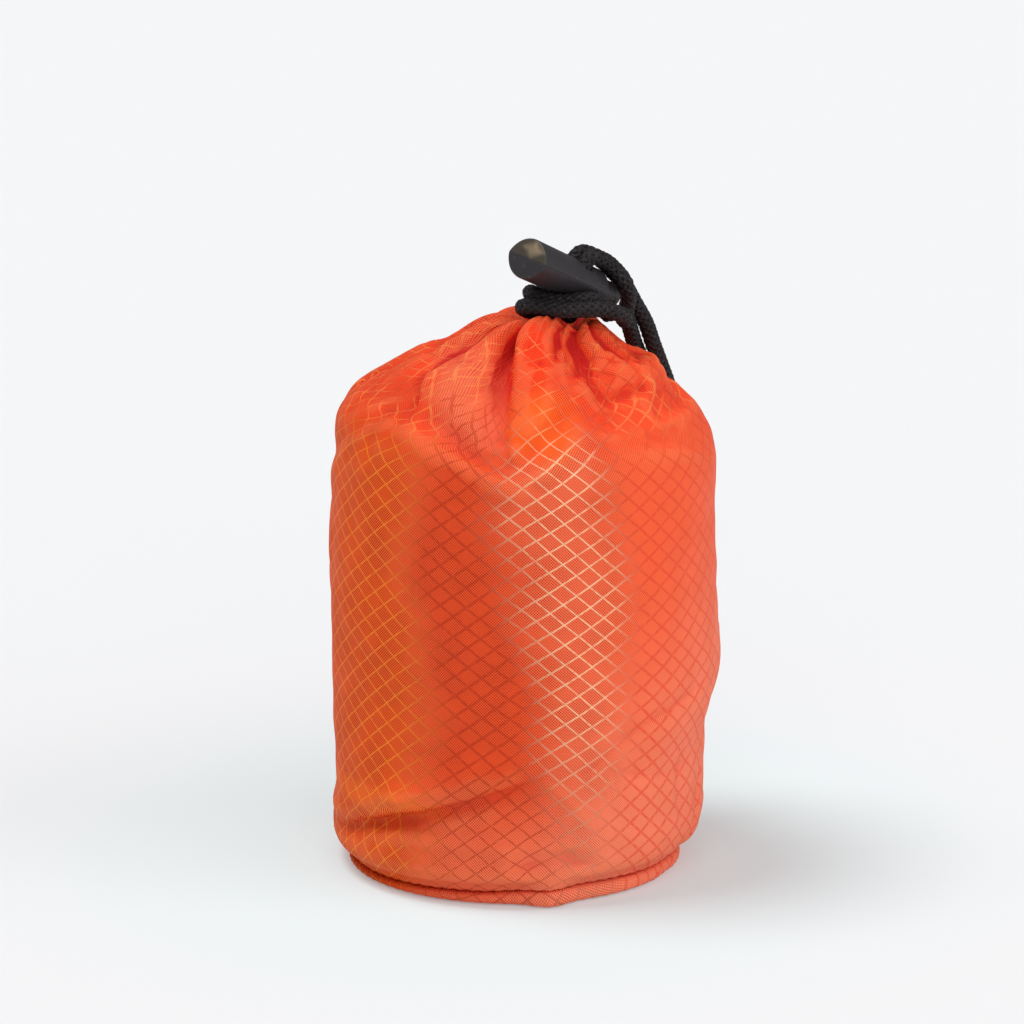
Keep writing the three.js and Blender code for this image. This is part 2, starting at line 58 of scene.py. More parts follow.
# The sack's sections from the base seam to the shut mouth: height, the middle along X, and the
# reach from there to each side
Section = namedtuple("Section", "height middle left right front back")
SECTIONS = [Section(*row) for row in (
    (2.0, -1.8, 30.4, 30.2, 31.8, 29.8),
    (5.0, -1.7, 32.4, 32.2, 33.8, 31.8),
    (10.7, -1.2, 33.3, 33.6, 34.8, 33.5),
    (18.0, -1.0, 33.6, 33.6, 35.0, 34.0),
    (24.0, -0.7, 34.0, 34.0, 35.0, 34.3),
    (30.0, 0.0, 34.9, 34.8, 34.9, 34.6),
    (41.0, 0.0, 35.3, 35.4, 35.0, 35.0),
    (52.0, -0.2, 35.3, 35.2, 35.2, 35.2),
    (63.0, -0.4, 34.9, 34.9, 35.0, 34.8),
    (72.0, -0.2, 34.9, 35.0, 34.8, 34.6),
    (77.0, -0.2, 34.8, 34.9, 34.4, 34.2),
    (81.0, -0.5, 34.0, 33.9, 33.2, 33.2),
    (84.5, -1.2, 32.4, 32.2, 31.2, 31.6),
    (87.5, -1.4, 30.2, 29.8, 28.8, 29.4),
    (90.3, -1.1, 27.2, 27.5, 25.9, 26.6),
    (93.0, -0.4, 24.0, 25.2, 22.6, 22.8),
    (95.6, 0.6, 20.8, 21.8, 19.0, 19.0),
    (98.0, 1.8, 17.6, 17.6, 15.4, 15.6),
    (100.0, 2.8, 14.8, 14.0, 12.6, 13.0),
    (101.8, 3.8, 11.8, 11.0, 10.4, 11.0),
    (102.5, 4.6, 9.2, 8.8, 8.8, 9.2),
    (101.9, 5.4, 7.4, 7.0, 7.2, 7.4),
    (100.4, 6.2, 5.6, 5.2, 5.4, 5.6),
    (99.0, 6.8, 3.4, 3.2, 3.4, 3.4),
    (98.4, 7.0, 0.0, 0.0, 0.0, 0.0),
)]
CREST_LEVEL = 20
CREST_HEIGHT = 102.5
PIECE_GAP = 0.32

Turn = namedtuple("Turn", "azimuth value")


def turn_table(*pairs):
    """A table that goes once round the sack, from pairs of an azimuth and a value."""
    return [Turn(*pair) for pair in pairs]


# How far the crest of the mouth stands above or below its mean height
CREST_LIFT = turn_table(
    (-150, -0.6), (-95, -1.1), (-58, -0.9), (-20, 1.2), (6, 0.8), (24, 0.1), (50, -0.3),
    (95, -1.7), (150, -1.2),
)

# The pleats of the mouth: azimuth of each valley at the crest and at the shoulder, depth and
# half width in degrees at both, the height at which it runs out, and how late it turns aside
Pleat = namedtuple("Pleat", "crest shoulder deep shallow narrow wide foot bend", defaults=[1])
PLEATS = [
    Pleat(-30, -6, 4.0, 2.7, 6, 14, 81.5, 2),
    Pleat(14, 20, 1.8, 0.5, 5, 6, 94.0),
    Pleat(30, 47, 2.6, 2.4, 8, 13, 86.5),
    Pleat(52, 66, 1.2, 0.5, 6, 8, 95.0),
    Pleat(82, 84, 1.4, 0.5, 8, 10, 92.0),
    Pleat(110, 121, 2.6, 3.6, 10, 16, 83.5),
    Pleat(144, 150, 2.2, 1.2, 8, 11, 90.0),
    Pleat(172, 171, 2.8, 2.6, 9, 14, 83.5),
    Pleat(202, 206, 2.2, 1.4, 8, 12, 89.0),
    Pleat(232, 231, 2.4, 2.2, 9, 13, 85.5),
    Pleat(262, 266, 2.2, 1.5, 9, 12, 88.0),
    Pleat(296, 290, 2.4, 2.2, 9, 13, 86.0),
]
PLEAT_TOP = 100.5
PLEAT_RUN_OUT = 5.0

# The soft overhanging crease where the gathered top meets the filled body
SHOULDER_LINE = turn_table(
    (-135, 80), (-92, 75), (-68, 83), (-46, 88.5), (-24, 85), (-3, 81), (13, 86), (24, 89),
    (38, 86), (64, 82), (90, 78.5), (120, 82), (150, 85), (185, 81),
)
SHOULDER_DEPTH = turn_table(
    (-135, 1.1), (-92, 0.5), (-60, 1.0), (-24, 1.3), (6, 1.3), (24, 0.8), (60, 0.4), (95, 0.2),
    (135, 1.0), (185, 1.2),
)
SHOULDER_WIDTH = 2.6

# Creases across the filled body, each straight from one azimuth and height to another
Crease = namedtuple("Crease", "start low end high first last width bulge")
CREASES = [
    Crease(-80, 8.4, -38, 15.6, 0.7, 1.3, 2.2, 0.6),
    Crease(-38, 15.6, 8, 25.8, 1.3, 0.1, 2.2, 0.8),
    Crease(22, 26.8, 100, 32.0, 0.5, 1.2, 5.2, 0.25),
    Crease(160, 22.0, 235, 15.0, 0.4, 1.3, 2.4, 0.8),
    Crease(118, 60.0, 176, 66.0, 0.3, 0.8, 2.8, 0.4),
]
CREASE_END_FADE = 9

# Crisp folds of the thin cloth, each along a line of azimuths and heights. The cloth drops by
# depth at the line and climbs back over the two widths, above or right of the line and below or
# left of it; a negative depth is a ridge
Fold = namedtuple("Fold", "depth before after line")
FOLDS = [
    Fold(1.3, 0.5, 3.2,
         [(-72, 100.0), (-69, 97.0), (-62, 94.6), (-52, 92.4), (-47, 89.6), (-48, 86.5)]),
    Fold(1.6, 0.4, 2.6, [(-30, 102.0), (-24, 100.0), (-15.5, 98.0), (-9.5, 95.5), (-6, 92.0)]),
    Fold(0.6, 0.7, 1.8, [(-9.5, 95.5), (-6, 92.0), (-4.6, 88.5), (-4, 84.5), (-3, 81.0)]),
    Fold(-0.9, 1.4, 2.0, [(2, 101.5), (19, 98.4), (31, 93.6), (41, 89.4), (48, 84.9)]),
    Fold(0.9, 0.5, 2.4, [(8, 101.5), (20, 99.7), (26, 97.8), (33, 94.0)]),
    Fold(0.8, 1.4, 0.5, [(30, 101.2), (23, 100.6), (20, 99.3)]),
    Fold(1.3, 0.6, 2.8,
         [(40, 100.5), (38, 97.0), (36.5, 94.5), (39, 92.0), (43, 90.0), (48, 86.0)]),
    Fold(1.0, 0.9, 2.0,
         [(-26, 87.0), (-16, 83.6), (-7.6, 81.0), (-2, 80.3), (6, 82.4), (19, 86.6)]),
    Fold(0.6, 1.6, 2.2, [(-78, 75.5), (-65, 80.5), (-56, 83.2), (-46, 86.5), (-42, 88.9)]),
    Fold(0.6, 1.5, 1.8, [(47, 85.0), (54, 83.2), (64, 81.3), (82, 78.4)]),
    Fold(1.5, 0.35, 2.2,
         [(-80, 7.6), (-52, 12.7), (-41, 14.9), (-26, 17.6), (-9, 21.2), (4, 24.6)]),
    Fold(0.5, 1.2, 0.5, [(-60, 12.0), (-52, 11.3), (-45, 11.6), (-38, 13.2), (-30, 15.6)]),
    Fold(0.6, 0.6, 1.6, [(82, 20.0), (75, 13.1), (72.6, 7.7), (71, 4.0)]),
    Fold(0.8, 0.9, 2.2, [(70, 37.5), (53, 34.6), (36, 31.9), (24, 26.7), (16, 24.3)]),
    Fold(-0.6, 1.3, 1.6, [(5, 24.9), (16, 19.7), (22, 13.7)]),
    Fold(0.5, 1.0, 1.8, [(24, 26.0), (38, 23.2), (54, 21.6), (68, 22.6)]),
    Fold(0.5, 2.2, 0.8, [(62, 27.0), (58, 19.0), (60, 12.0), (64, 6.5)]),
    Fold(0.8, 0.5, 2.0, [(122, 98.0), (124, 93.0), (128, 88.0), (133, 83.0)]),
    Fold(0.9, 2.4, 0.5, [(176, 99.0), (174, 94.0), (168, 88.0), (160, 82.5)]),
    Fold(0.8, 0.5, 2.6, [(-124, 99.0), (-128, 94.0), (-131, 88.0), (-141, 82.0)]),
    Fold(0.7, 2.0, 0.6, [(-96, 99.0), (-97, 94.0), (-101, 88.0), (-96, 82.0)]),
    Fold(0.7, 0.7, 2.0, [(150, 17.5), (185, 19.5), (212, 17.0), (238, 14.0)]),
    Fold(0.5, 1.4, 1.4, [(112, 58.0), (140, 62.5), (172, 65.5)]),
]

PINCH_AZIMUTH, PINCH_REACH, PINCH_HALF, PINCH_TOP = 11, 4.2, 7, 9
DENT_AZIMUTH, DENT_DEPTH, DENT_HALF, DENT_TOP = 66, 0.4, 6, 17
SEAM_HEIGHT = turn_table(
    (-120, 1.4), (-60, 1.2), (-10, 2.0), (12, 3.0), (45, 2.7), (100, 2.0), (180, 1.6),
)
SEAM_MEAN = 2.0
SEAM_FADE = 12.0

# The simulation of the small creases: it runs at ten times the size, and a point moves at most
# SIM_CAP millimetres
SIM_STEP, SIM_FRAMES, SIM_SCALE, SIM_CAP = 4, 18, 0.01, 0.7

# The lock: the middle of its mouth, the way to its closed end, and its width's way
LOCK_MOUTH = Vector((12, 3, 106.1))
LOCK_ALONG = Vector((-0.65, -0.61, 0.45)).normalized()
LOCK_UP = LOCK_ALONG.cross(Vector((0.65, -0.754, -0.083))).normalized()
LOCK_SIDE = LOCK_UP.cross(LOCK_ALONG).normalized()
HOLE_CENTRE = 5.5
HOLE_LENGTH = 3.5
HOLE_WIDTH = 6.4
PLUNGER_TRAVEL = 2.4
PLUNGER_CLEARANCE = 0.3
BARREL_LENGTH = 18

# The flat cloth: its width once round, its thin threads in that width, and the reach of the base
# panel on it, in millimetres
CLOTH_GIRTH = 220.0
WEAVE_COUNT = 424
BASE_REACH = 30.0
BASE_STEP = 0.55
SEAM_PUCKER = 2.75
BASE_PUCKERS = 80


def in_lock(side, up, along):
    return LOCK_MOUTH + LOCK_SIDE * side + LOCK_UP * up + LOCK_ALONG * along


def wrap(azimuth, radius, height):
    turn = math.radians(azimuth)
    return Vector((8.65 + radius * math.sin(turn), -radius * math.cos(turn), height))


ROUTE_A = [Vector(spot) for spot in (
    (17.9, -1.2, 100.9), (17.8, -2.9, 102.2), (16.6, -5.2, 103.4), wrap(42, 8.6, 104.3),
    wrap(15, 8.3, 104.7), wrap(-15, 8.8, 104.8), wrap(-38, 9.2, 105.0), (0.9, -5.9, 104.8),
    (-0.4, -3.2, 104.0), (0.5, -0.6, 102.8), (2.6, 0.5, 102.1), (4.6, -0.4, 102.6),
    in_lock(-1.5, -3.6, 5.5), in_lock(-1.5, 0, 5.5), in_lock(-1.5, 3.2, 5.5),
    in_lock(-1.4, 5.1, 4.5), in_lock(-1.2, 5.5, 2.4), in_lock(-1.0, 5.4, 0.0),
    (15.9, 6.4, 108.3), (18.2, 8.2, 105.2), (20.1, 10.0, 101.4), (22.0, 12.2, 97.4),
    (23.4, 14.8, 92.8), (25.0, 18.4, 87.6), (26.3, 22.4, 82.8), (26.4, 25.0, 78.6),
    (25.8, 27.0, 72.0), (24.4, 28.6, 60.0), (23.2, 30.6, 48.4), (22.6, 32.4, 44.9),
)]
ROUTE_B = [Vector(spot) for spot in (
    (15.0, -0.3, 101.5), (14.9, -1.6, 103.2), (13.8, -3.1, 104.8), (11.9, -4.7, 105.75),
    wrap(10, 5.8, 105.9), wrap(-20, 5.9, 105.5), (4.2, -4.6, 105.7), (1.6, -3.0, 106.35),
    (1.0, -0.7, 106.1), (2.9, 1.6, 105.0), (5.3, 2.8, 103.7), (7.5, 1.7, 102.3),
    (8.1, -0.5, 101.8), (7.6, -2.3, 102.9), in_lock(1.5, -3.6, 5.5), in_lock(1.5, 0, 5.5),
    in_lock(1.5, 3.2, 5.5), in_lock(1.7, 5.1, 4.5), in_lock(1.9, 5.4, 2.4),
    in_lock(2.1, 5.2, 0.2), (17.8, 3.1, 107.6), (18.7, 4.9, 104.4), (18.4, 7.6, 100.2),
    (19.2, 10.6, 96.5), (19.9, 13.8, 93.4), (21.0, 17.8, 89.6), (21.0, 23.0, 86.6),
    (21.4, 28.3, 81.9), (20.8, 30.6, 74.0), (20.0, 31.2, 64.0), (19.4, 32.3, 48.4),
    (19.8, 33.0, 44.9),
)]
KNOT_PLACE = Vector((21.2, 33.4, 43.9))

VIEW_CENTRE = Vector((-2.36, 0, 64.9))
FLOOR_DROP = 0.2 * MM


def colour_setting(name, description, value):
    return FloatVectorProperty(
        name=name, description=description, subtype="COLOR", size=4, min=0, max=1, default=value
    )


def length_setting(name, description, millimetres):
    return FloatProperty(
        name=name, description=description, subtype="DISTANCE", default=millimetres * MM
    )


def count_setting(name, description, value, low, high):
    return IntProperty(name=name, description=description, default=value, min=low, max=high)


class SackSettings(bpy.types.PropertyGroup):
    cloth: colour_setting("Cloth", "Colour of the ripstop nylon", (0.95, 0.150, 0.062, 1))
    # Painted shade: the left side of the sack is painted a darker orange than the rest
    cloth_left_shade: colour_setting(
        "Warm side", "Colour of the cloth where it leans towards orange", (0.84, 0.092, 0.008, 1)
    )
    thread_pale: colour_setting(
        "Pale thread",
        "Colour of the thick ripstop threads where they catch the light",
        (1.0, 0.58, 0.34, 1),
    )
    thread_dark: colour_setting(
        "Dark thread", "Colour of the thick ripstop threads elsewhere", (0.42, 0.028, 0.008, 1)
    )
    diamond_count: count_setting(
        "Diamonds round", "How many ripstop diamonds go once round the sack", 44, 10, 120
    )
    diamond_height: length_setting("Diamond height", "Height of a ripstop diamond", 3.7)
    columns: count_setting("Columns", "Columns of the wall's mesh", 384, 72, 512)
    rows: count_setting("Rows", "Rows of the wall's mesh", 244, 40, 400)
    wrinkle: length_setting(
        "Wrinkle depth", "Depth of the small wrinkles that run down from the mouth", 0.42
    )


class CordSettings(bpy.types.PropertyGroup):
    colour: colour_setting("Cord", "Colour of the braided cord", (0.011, 0.0075, 0.0085, 1))
    diameter: length_setting("Diameter", "Diameter of the cord", 2.95)
    carriers: count_setting("Carriers", "Yarns that wind each way", 6, 4, 12)
    lay: length_setting("Lay", "Length of cord in which a yarn goes once round", 9.6)


class LockSettings(bpy.types.PropertyGroup):
    colour: colour_setting("Plastic", "Colour of the moulded lock", (0.022, 0.018, 0.020, 1))
    length: length_setting("Barrel length", "Length of the barrel", BARREL_LENGTH)
    width: length_setting("Barrel width", "Width of the barrel", 10.2)
    thickness: length_setting("Barrel thickness", "Thickness of the barrel", 7.6)


class StageSettings(bpy.types.PropertyGroup):
    floor: colour_setting("Floor", "Colour that the floor glows with", (0.90, 0.91, 0.93, 1))
    elevation: FloatProperty(
        name="Camera elevation",
        description="How far the camera looks down",
        subtype="ANGLE",
        default=math.radians(15),
    )
    distance: length_setting("Camera distance", "From the sack", 1600)
    view_width: length_setting("View width", "Width that the picture takes in at the sack", 186.2)


class Signal:
    """An output of a shader node that takes part in arithmetic."""

    def __init__(self, finish, socket):
        self.finish = finish
        self.socket = socket

    def maths(self, operation, *values):
        return self.finish.node("ShaderNodeMath", {"operation": operation}, *values)

    def root(self):
        return self.maths("SQRT", self)

    def __add__(self, other):
        return self.maths("ADD", self, other)

    def __radd__(self, other):
        return self.maths("ADD", other, self)

    def __sub__(self, other):
        return self.maths("SUBTRACT", self, other)

    def __rsub__(self, other):
        return self.maths("SUBTRACT", other, self)

    def __mul__(self, other):
        return self.maths("MULTIPLY", self, other)

    def __rmul__(self, other):
        return self.maths("MULTIPLY", other, self)

    def __truediv__(self, other):
        return self.maths("DIVIDE", self, other)

    def clamped(self):
        return self.finish.node("ShaderNodeClamp", {}, self)

    def sine(self):
        return self.maths("SINE", self)

    def size(self):
        return self.maths("ABSOLUTE", self)

    def larger(self, other):
        return self.maths("MAXIMUM", self, other)

    def off_whole(self):
        """Distance from the nearest whole number, 0 to 0.5."""
        return (self.maths("FRACT", self) - 0.5).size() * -1 + 0.5

    def between(self, low, high):
        """0 below low, 1 above high, and a soft step from one to the other."""
        settings = {"interpolation_type": "SMOOTHSTEP"}
        return self.finish.node("ShaderNodeMapRange", settings, self, low, high, 0.0, 1.0)


class Finish:
    """A procedural material that is built up node by node."""

    def __init__(self, name):
        self.material = bpy.data.materials.new(name)
        self.material.use_nodes = True
        self.tree = self.material.node_tree
        self.shader = self.tree.nodes["Principled BSDF"]

    def node(self, kind, settings, *values, output=0, **named):
        made = self.tree.nodes.new(kind)
        for key, value in settings.items():
            setattr(made, key, value)
        pairs = list(enumerate(values))
        pairs += [(key.replace("_", " "), value) for key, value in named.items()]
        for key, value in pairs:
            if value is not None:
                self.put(made.inputs[key], value)
        return Signal(self, made.outputs[output])

    def put(self, socket, value):
        if isinstance(value, Signal):
            self.tree.links.new(value.socket, socket)
        else:
            socket.default_value = value

    def set(self, **named):
        for key, value in named.items():
            self.put(self.shader.inputs[key.replace("_", " ")], value)

    def blend(self, factor, first, second, how="MIX"):
        made = self.tree.nodes.new("ShaderNodeMix")
        made.data_type = "RGBA"
        made.blend_type = how
        for index, value in ((0, factor), (6, first), (7, second)):
            self.put(made.inputs[index], value)
        return Signal(self, made.outputs[2])

    def place(self):
        return self.node("ShaderNodeTexCoord", {}, output="Object")

    def axes(self, vector):
        made = self.tree.nodes.new("ShaderNodeSeparateXYZ")
        self.put(made.inputs[0], vector)
        return [Signal(self, output) for output in made.outputs]

    def along(self, vector, way):
        """How far a place lies along a way."""
        rules = {"operation": "DOT_PRODUCT"}
        return self.node("ShaderNodeVectorMath", rules, vector, tuple(way), output="Value")

    def layers(self, tone, rows):
        """The tone with each colour of the rows laid over it, as far as its share goes."""
        for share, colour in rows:
            tone = self.blend(share, tone, colour)
        return tone

    def speckle(self, vector, scale, detail):
        rules = {"Vector": vector, "Scale": scale, "Detail": detail, "Roughness": 0.5}
        return self.node("ShaderNodeTexNoise", {}, **rules)

    def bump(self, height, distance, strength):
        return self.node("ShaderNodeBump", {}, Strength=strength, Distance=distance, Height=height)


def clamp01(value):
    return min(max(value, 0.0), 1.0)


def mix(start, end, share):
    return start + (end - start) * share


def bell(offset, half_width):
    return math.exp(-((offset / half_width) ** 2))


def turn_between(first, second):
    return (first - second + 180) % 360 - 180


def catmull(before, start, end, after, share):
    m0 = (end - before) / 2
    m1 = (after - start) / 2
    s2 = share * share
    s3 = s2 * share
    return (
        (2 * s3 - 3 * s2 + 1) * start
        + (s3 - 2 * s2 + share) * m0
        + (3 * s2 - 2 * s3) * end
        + (s3 - s2) * m1
    )


def section_at(level):
    """All the columns of the table of sections at a place between its rows."""
    last = len(SECTIONS) - 1
    index = min(int(level), last - 1)
    rows = [SECTIONS[min(max(index + step, 0), last)] for step in (-1, 0, 1, 2)]
    return Section(*(catmull(*column, level - index) for column in zip(*rows)))


def around(rows, azimuth):
    """A table that goes once round in azimuth, read at any azimuth."""
    count = len(rows)
    first = rows[0].azimuth
    turn = first + (azimuth - first) % 360
    index = count - 1
    while rows[index].azimuth > turn:
        index -= 1
    end = first + 360 if index == count - 1 else rows[index + 1].azimuth
    values = [rows[(index + step) % count].value for step in (-1, 0, 1, 2)]
    return catmull(*values, (turn - rows[index].azimuth) / (end - rows[index].azimuth))


def pleat_depth(azimuth, height):
    depth = 0.0
    for pleat in PLEATS:
        fade = clamp01((height - pleat.foot + PLEAT_RUN_OUT) / (2 * PLEAT_RUN_OUT))
        if fade == 0:
            continue
        rise = clamp01((height - pleat.foot) / (PLEAT_TOP - pleat.foot))
        centre = mix(pleat.shoulder, pleat.crest, rise**pleat.bend)
        half = mix(pleat.wide, pleat.narrow, rise)
        full = mix(pleat.shallow, pleat.deep, rise)
        depth += full * fade * fade * bell(turn_between(azimuth, centre), half)
    return depth


def crease_depth(azimuth, height):
    depth = 0.0
    for crease in CREASES:
        length = crease.end - crease.start
        along = (azimuth - crease.start + 90) % 360 - 90
        share = clamp01(along / length)
        past = max(-along, along - length, 0)
        above = height - mix(crease.low, crease.high, share)
        if abs(above) > 12:
            continue
        full = mix(crease.first, crease.last, share) * bell(past, CREASE_END_FADE)
        groove = bell(above + crease.width / 2, crease.width)
        roll = crease.bulge * bell(above - crease.width, crease.width * 1.5)
        depth += full * (groove - roll)
    return depth


class Column:
    """What stays the same down one column of the wall: all that depends on azimuth alone."""

    def __init__(self, azimuth):
        turn = math.radians(azimuth)
        self.azimuth = azimuth
        self.side = math.sin(turn)
        self.ahead = math.cos(turn)
        self.lift = around(CREST_LIFT, azimuth)
        self.seam = around(SEAM_HEIGHT, azimuth) - SEAM_MEAN
        self.shoulder = around(SHOULDER_LINE, azimuth)
        self.depth = around(SHOULDER_DEPTH, azimuth)
        self.pinch = PINCH_REACH * bell(turn_between(azimuth, PINCH_AZIMUTH), PINCH_HALF)
        self.dent = DENT_DEPTH * bell(turn_between(azimuth, DENT_AZIMUTH), DENT_HALF)

    def reach(self, section):
        sideways = section.left if self.side < 0 else section.right
        endways = section.front if self.ahead > 0 else section.back
        return sideways * self.side**2 + endways * self.ahead**2


class Row:
    """One row of the wall: its section, and the sections just below and above it."""

    def __init__(self, level):
        self.level = level
        self.section = section_at(level)
        self.low = section_at(max(level - 0.02, 0))
        self.high = section_at(min(level + 0.02, len(SECTIONS) - 1))
        self.in_mouth = level > CREST_LEVEL


CREST = section_at(CREST_LEVEL)


def sack_point(row, column):
    """A point of the sack's outside, and the way out of the cloth there in radius and height."""
    section = row.section
    height = section.height
    radius = column.reach(section)
    rise = row.high.height - row.low.height
    run = column.reach(row.high) - column.reach(row.low)
    slope = math.hypot(rise, run)
    outward, upward = rise / slope, -run / slope
    inner = clamp01(radius / column.reach(CREST)) if row.in_mouth else 1.0
    above = height - column.shoulder
    shoulder = column.depth * (
        bell(above - SHOULDER_WIDTH / 2, SHOULDER_WIDTH)
        - 0.5 * bell(above + SHOULDER_WIDTH, SHOULDER_WIDTH)
    )
    folds = pleat_depth(column.azimuth, CREST_HEIGHT if row.in_mouth else height)
    folds = (folds + shoulder * inner) * inner**2 + crease_depth(column.azimuth, height)
    foot = column.pinch * clamp01(1 - height / PINCH_TOP) ** 2
    foot -= column.dent * clamp01(1 - height / DENT_TOP)
    flat = radius + foot - folds * outward
    lift = column.lift * clamp01((height - 88) / (CREST_HEIGHT - 88)) * inner
    lift += column.seam * clamp01((SEAM_FADE - height) / (SEAM_FADE - SEAM_MEAN))
    point = Vector(
        (
            section.middle + flat * column.side,
            -flat * column.ahead,
            height + lift - folds * upward,
        )
    )
    way = Vector((outward * column.side, -outward * column.ahead, upward))
    return point, way, folds


class SmoothFold:
    """A fold of the table with its line rounded, and the region that it can reach."""

    def __init__(self, fold):
        self.fold = fold
        ghosts = [fold.line[0]] + fold.line + [fold.line[-1]]
        self.line = []
        for points in zip(ghosts, ghosts[1:], ghosts[2:], ghosts[3:]):
            for step in range(4):
                self.line.append([catmull(*column, step / 4) for column in zip(*points)])
        self.line.append(list(fold.line[-1]))
        self.reach = 3.5 * max(fold.before, fold.after)
        turns = [point[0] for point in self.line]
        heights = [point[1] for point in self.line]
        self.centre = (min(turns) + max(turns)) / 2
        self.half = (max(turns) - min(turns)) / 2
        self.low = min(heights) - self.reach
        self.high = max(heights) + self.reach

    def may_reach(self, azimuth, height, per_degree):
        if not self.low < height < self.high:
            return False
        return abs(turn_between(azimuth, self.centre)) < self.half + self.reach / per_degree


SMOOTH_FOLDS = [SmoothFold(fold) for fold in FOLDS]


def fold_drop(azimuth, height, radius):
    """How far the crisp folds take the cloth in at a place."""
    drop = 0.0
    per_degree = max(radius, 6.0) * math.pi / 180
    for smooth in SMOOTH_FOLDS:
        if not smooth.may_reach(azimuth, height, per_degree):
            continue
        fold, reach = smooth.fold, smooth.reach
        best = None
        count = len(smooth.line) - 1
        for index, (start, end) in enumerate(zip(smooth.line, smooth.line[1:])):
            ax = turn_between(azimuth, start[0]) * per_degree
            ay = height - start[1]
            dx = turn_between(end[0], start[0]) * per_degree
            dy = end[1] - start[1]
            length = math.hypot(dx, dy)
            share = clamp01((ax * dx + ay * dy) / length**2)
            ox, oy = ax - share * dx, ay - share * dy
            gap = math.hypot(ox, oy)
            if best is None or gap < best[0]:
                beyond = (ax * dy - ay * dx) / length
                best = (gap, beyond, (index + share) / count)
        gap, beyond, along = best
        if gap > reach:
            continue
        width = fold.after if beyond > 0 else fold.before
        ends = math.sin(math.pi / 2 * clamp01(4 * along) * clamp01(3 * (1 - along)))
        drop += fold.depth * ends * math.exp(-((gap / width) ** 1.3))
    return drop


def even_steps(lengths, count):
    """Even steps along a line with those running lengths, each as an index and a share past it."""
    index = 0
    for step in range(count + 1):
        wanted = lengths[-1] * step / count
        while index < len(lengths) - 2 and lengths[index + 1] < wanted:
            index += 1
        span = max(lengths[index + 1] - lengths[index], 1e-9)
        yield index, clamp01((wanted - lengths[index]) / span)


def row_levels(rows):
    """Places in the table of sections that are evenly spaced along the sack's profile."""
    steps = 2400
    fine = [step * (len(SECTIONS) - 1) / steps for step in range(steps + 1)]
    lengths = [0.0]
    before = section_at(0)
    for level in fine[1:]:
        here = section_at(level)
        step = math.hypot(here.height - before.height, here.right - before.right)
        lengths.append(lengths[-1] + step)
        before = here
    levels = []
    for index, share in even_steps(lengths, rows):
        levels.append(mix(fine[index], fine[index + 1], share))
    return levels


def grid_object(name, columns, rows, place, cloth, marked):
    """A closed surface that starts as a flat grid. place(column, row) gives each point in
    millimetres, cloth its place on the cloth, and marked how deep in a hollow it lies."""
    bm = bmesh.new()
    layer = bm.loops.layers.uv.new("UVMap")
    mark = bm.verts.layers.float.new("hollow")
    bmesh.ops.create_grid(bm, x_segments=columns, y_segments=rows, size=1, calc_uvs=True)
    spots = {}
    for vert in bm.verts:
        spots[vert] = (
            round((vert.co.x + 1) / 2 * columns),
            round((vert.co.y + 1) / 2 * rows),
        )
    for face in bm.faces:
        for loop in face.loops:
            loop[layer].uv = cloth(*spots[loop.vert])
    for vert, spot in spots.items():
        vert[mark] = marked(*spot)
        vert.co = Vector(place(*spot)) * MM
    bmesh.ops.remove_doubles(bm, verts=bm.verts, dist=2e-6)
    bmesh.ops.dissolve_degenerate(bm, edges=bm.edges, dist=1e-7)
    return mesh_object(name, bm)


def mesh_object(name, bm, recalc=True):
    if recalc:
        bmesh.ops.recalc_face_normals(bm, faces=bm.faces)
    mesh = bpy.data.meshes.new(name)
    bm.to_mesh(mesh)
    bm.free()
    mesh.shade_smooth()
    made = bpy.data.objects.new(name, mesh)
    bpy.context.collection.objects.link(made)
    return made


def finish_of(name, make, settings):
    """The material of that name, made the first time that a piece asks for it."""
    return bpy.data.materials.get(name) or make(settings).material


def dress(piece, material):
    piece.data.materials.clear()
    piece.data.materials.append(material)


def smooth_route(route, spacing):
    """Evenly spaced points along the centripetal Catmull-Rom curve through a route."""
    ghosts = [2 * route[0] - route[1]] + route + [2 * route[-1] - route[-2]]
    fine = []
    for before, start, end, after in zip(ghosts, ghosts[1:], ghosts[2:], ghosts[3:]):
        t1 = (start - before).length ** 0.5
        t2 = t1 + (end - start).length ** 0.5
        t3 = t2 + (after - end).length ** 0.5
        for step in range(24):
            t = mix(t1, t2, step / 24)
            a1 = before.lerp(start, t / t1)
            a2 = start.lerp(end, (t - t1) / (t2 - t1))
            a3 = end.lerp(after, (t - t2) / (t3 - t2))
            b1 = a1.lerp(a2, t / t2)
            b2 = a2.lerp(a3, (t - t1) / (t3 - t1))
            fine.append(b1.lerp(b2, (t - t1) / (t2 - t1)))
    fine.append(route[-1].copy())
    lengths = [0.0]
    for start, end in zip(fine, fine[1:]):
        lengths.append(lengths[-1] + (end - start).length)
    count = max(int(lengths[-1] / spacing), 4)
    points = []
    for index, share in even_steps(lengths, count):
        points.append(fine[index].lerp(fine[index + 1], share))
    return points


def carried_frames(points):
    """A side and an up direction at each point that don't twist along the line."""
    frames = []
    side = None
    for index, point in enumerate(points):
        ahead = points[min(index + 1, len(points) - 1)] - points[max(index - 1, 0)]
        ahead.normalize()
        if side is None:
            side = ahead.orthogonal().normalized()
        side = (side - ahead * side.dot(ahead)).normalized()
        frames.append((side.copy(), ahead.cross(side)))
    return frames


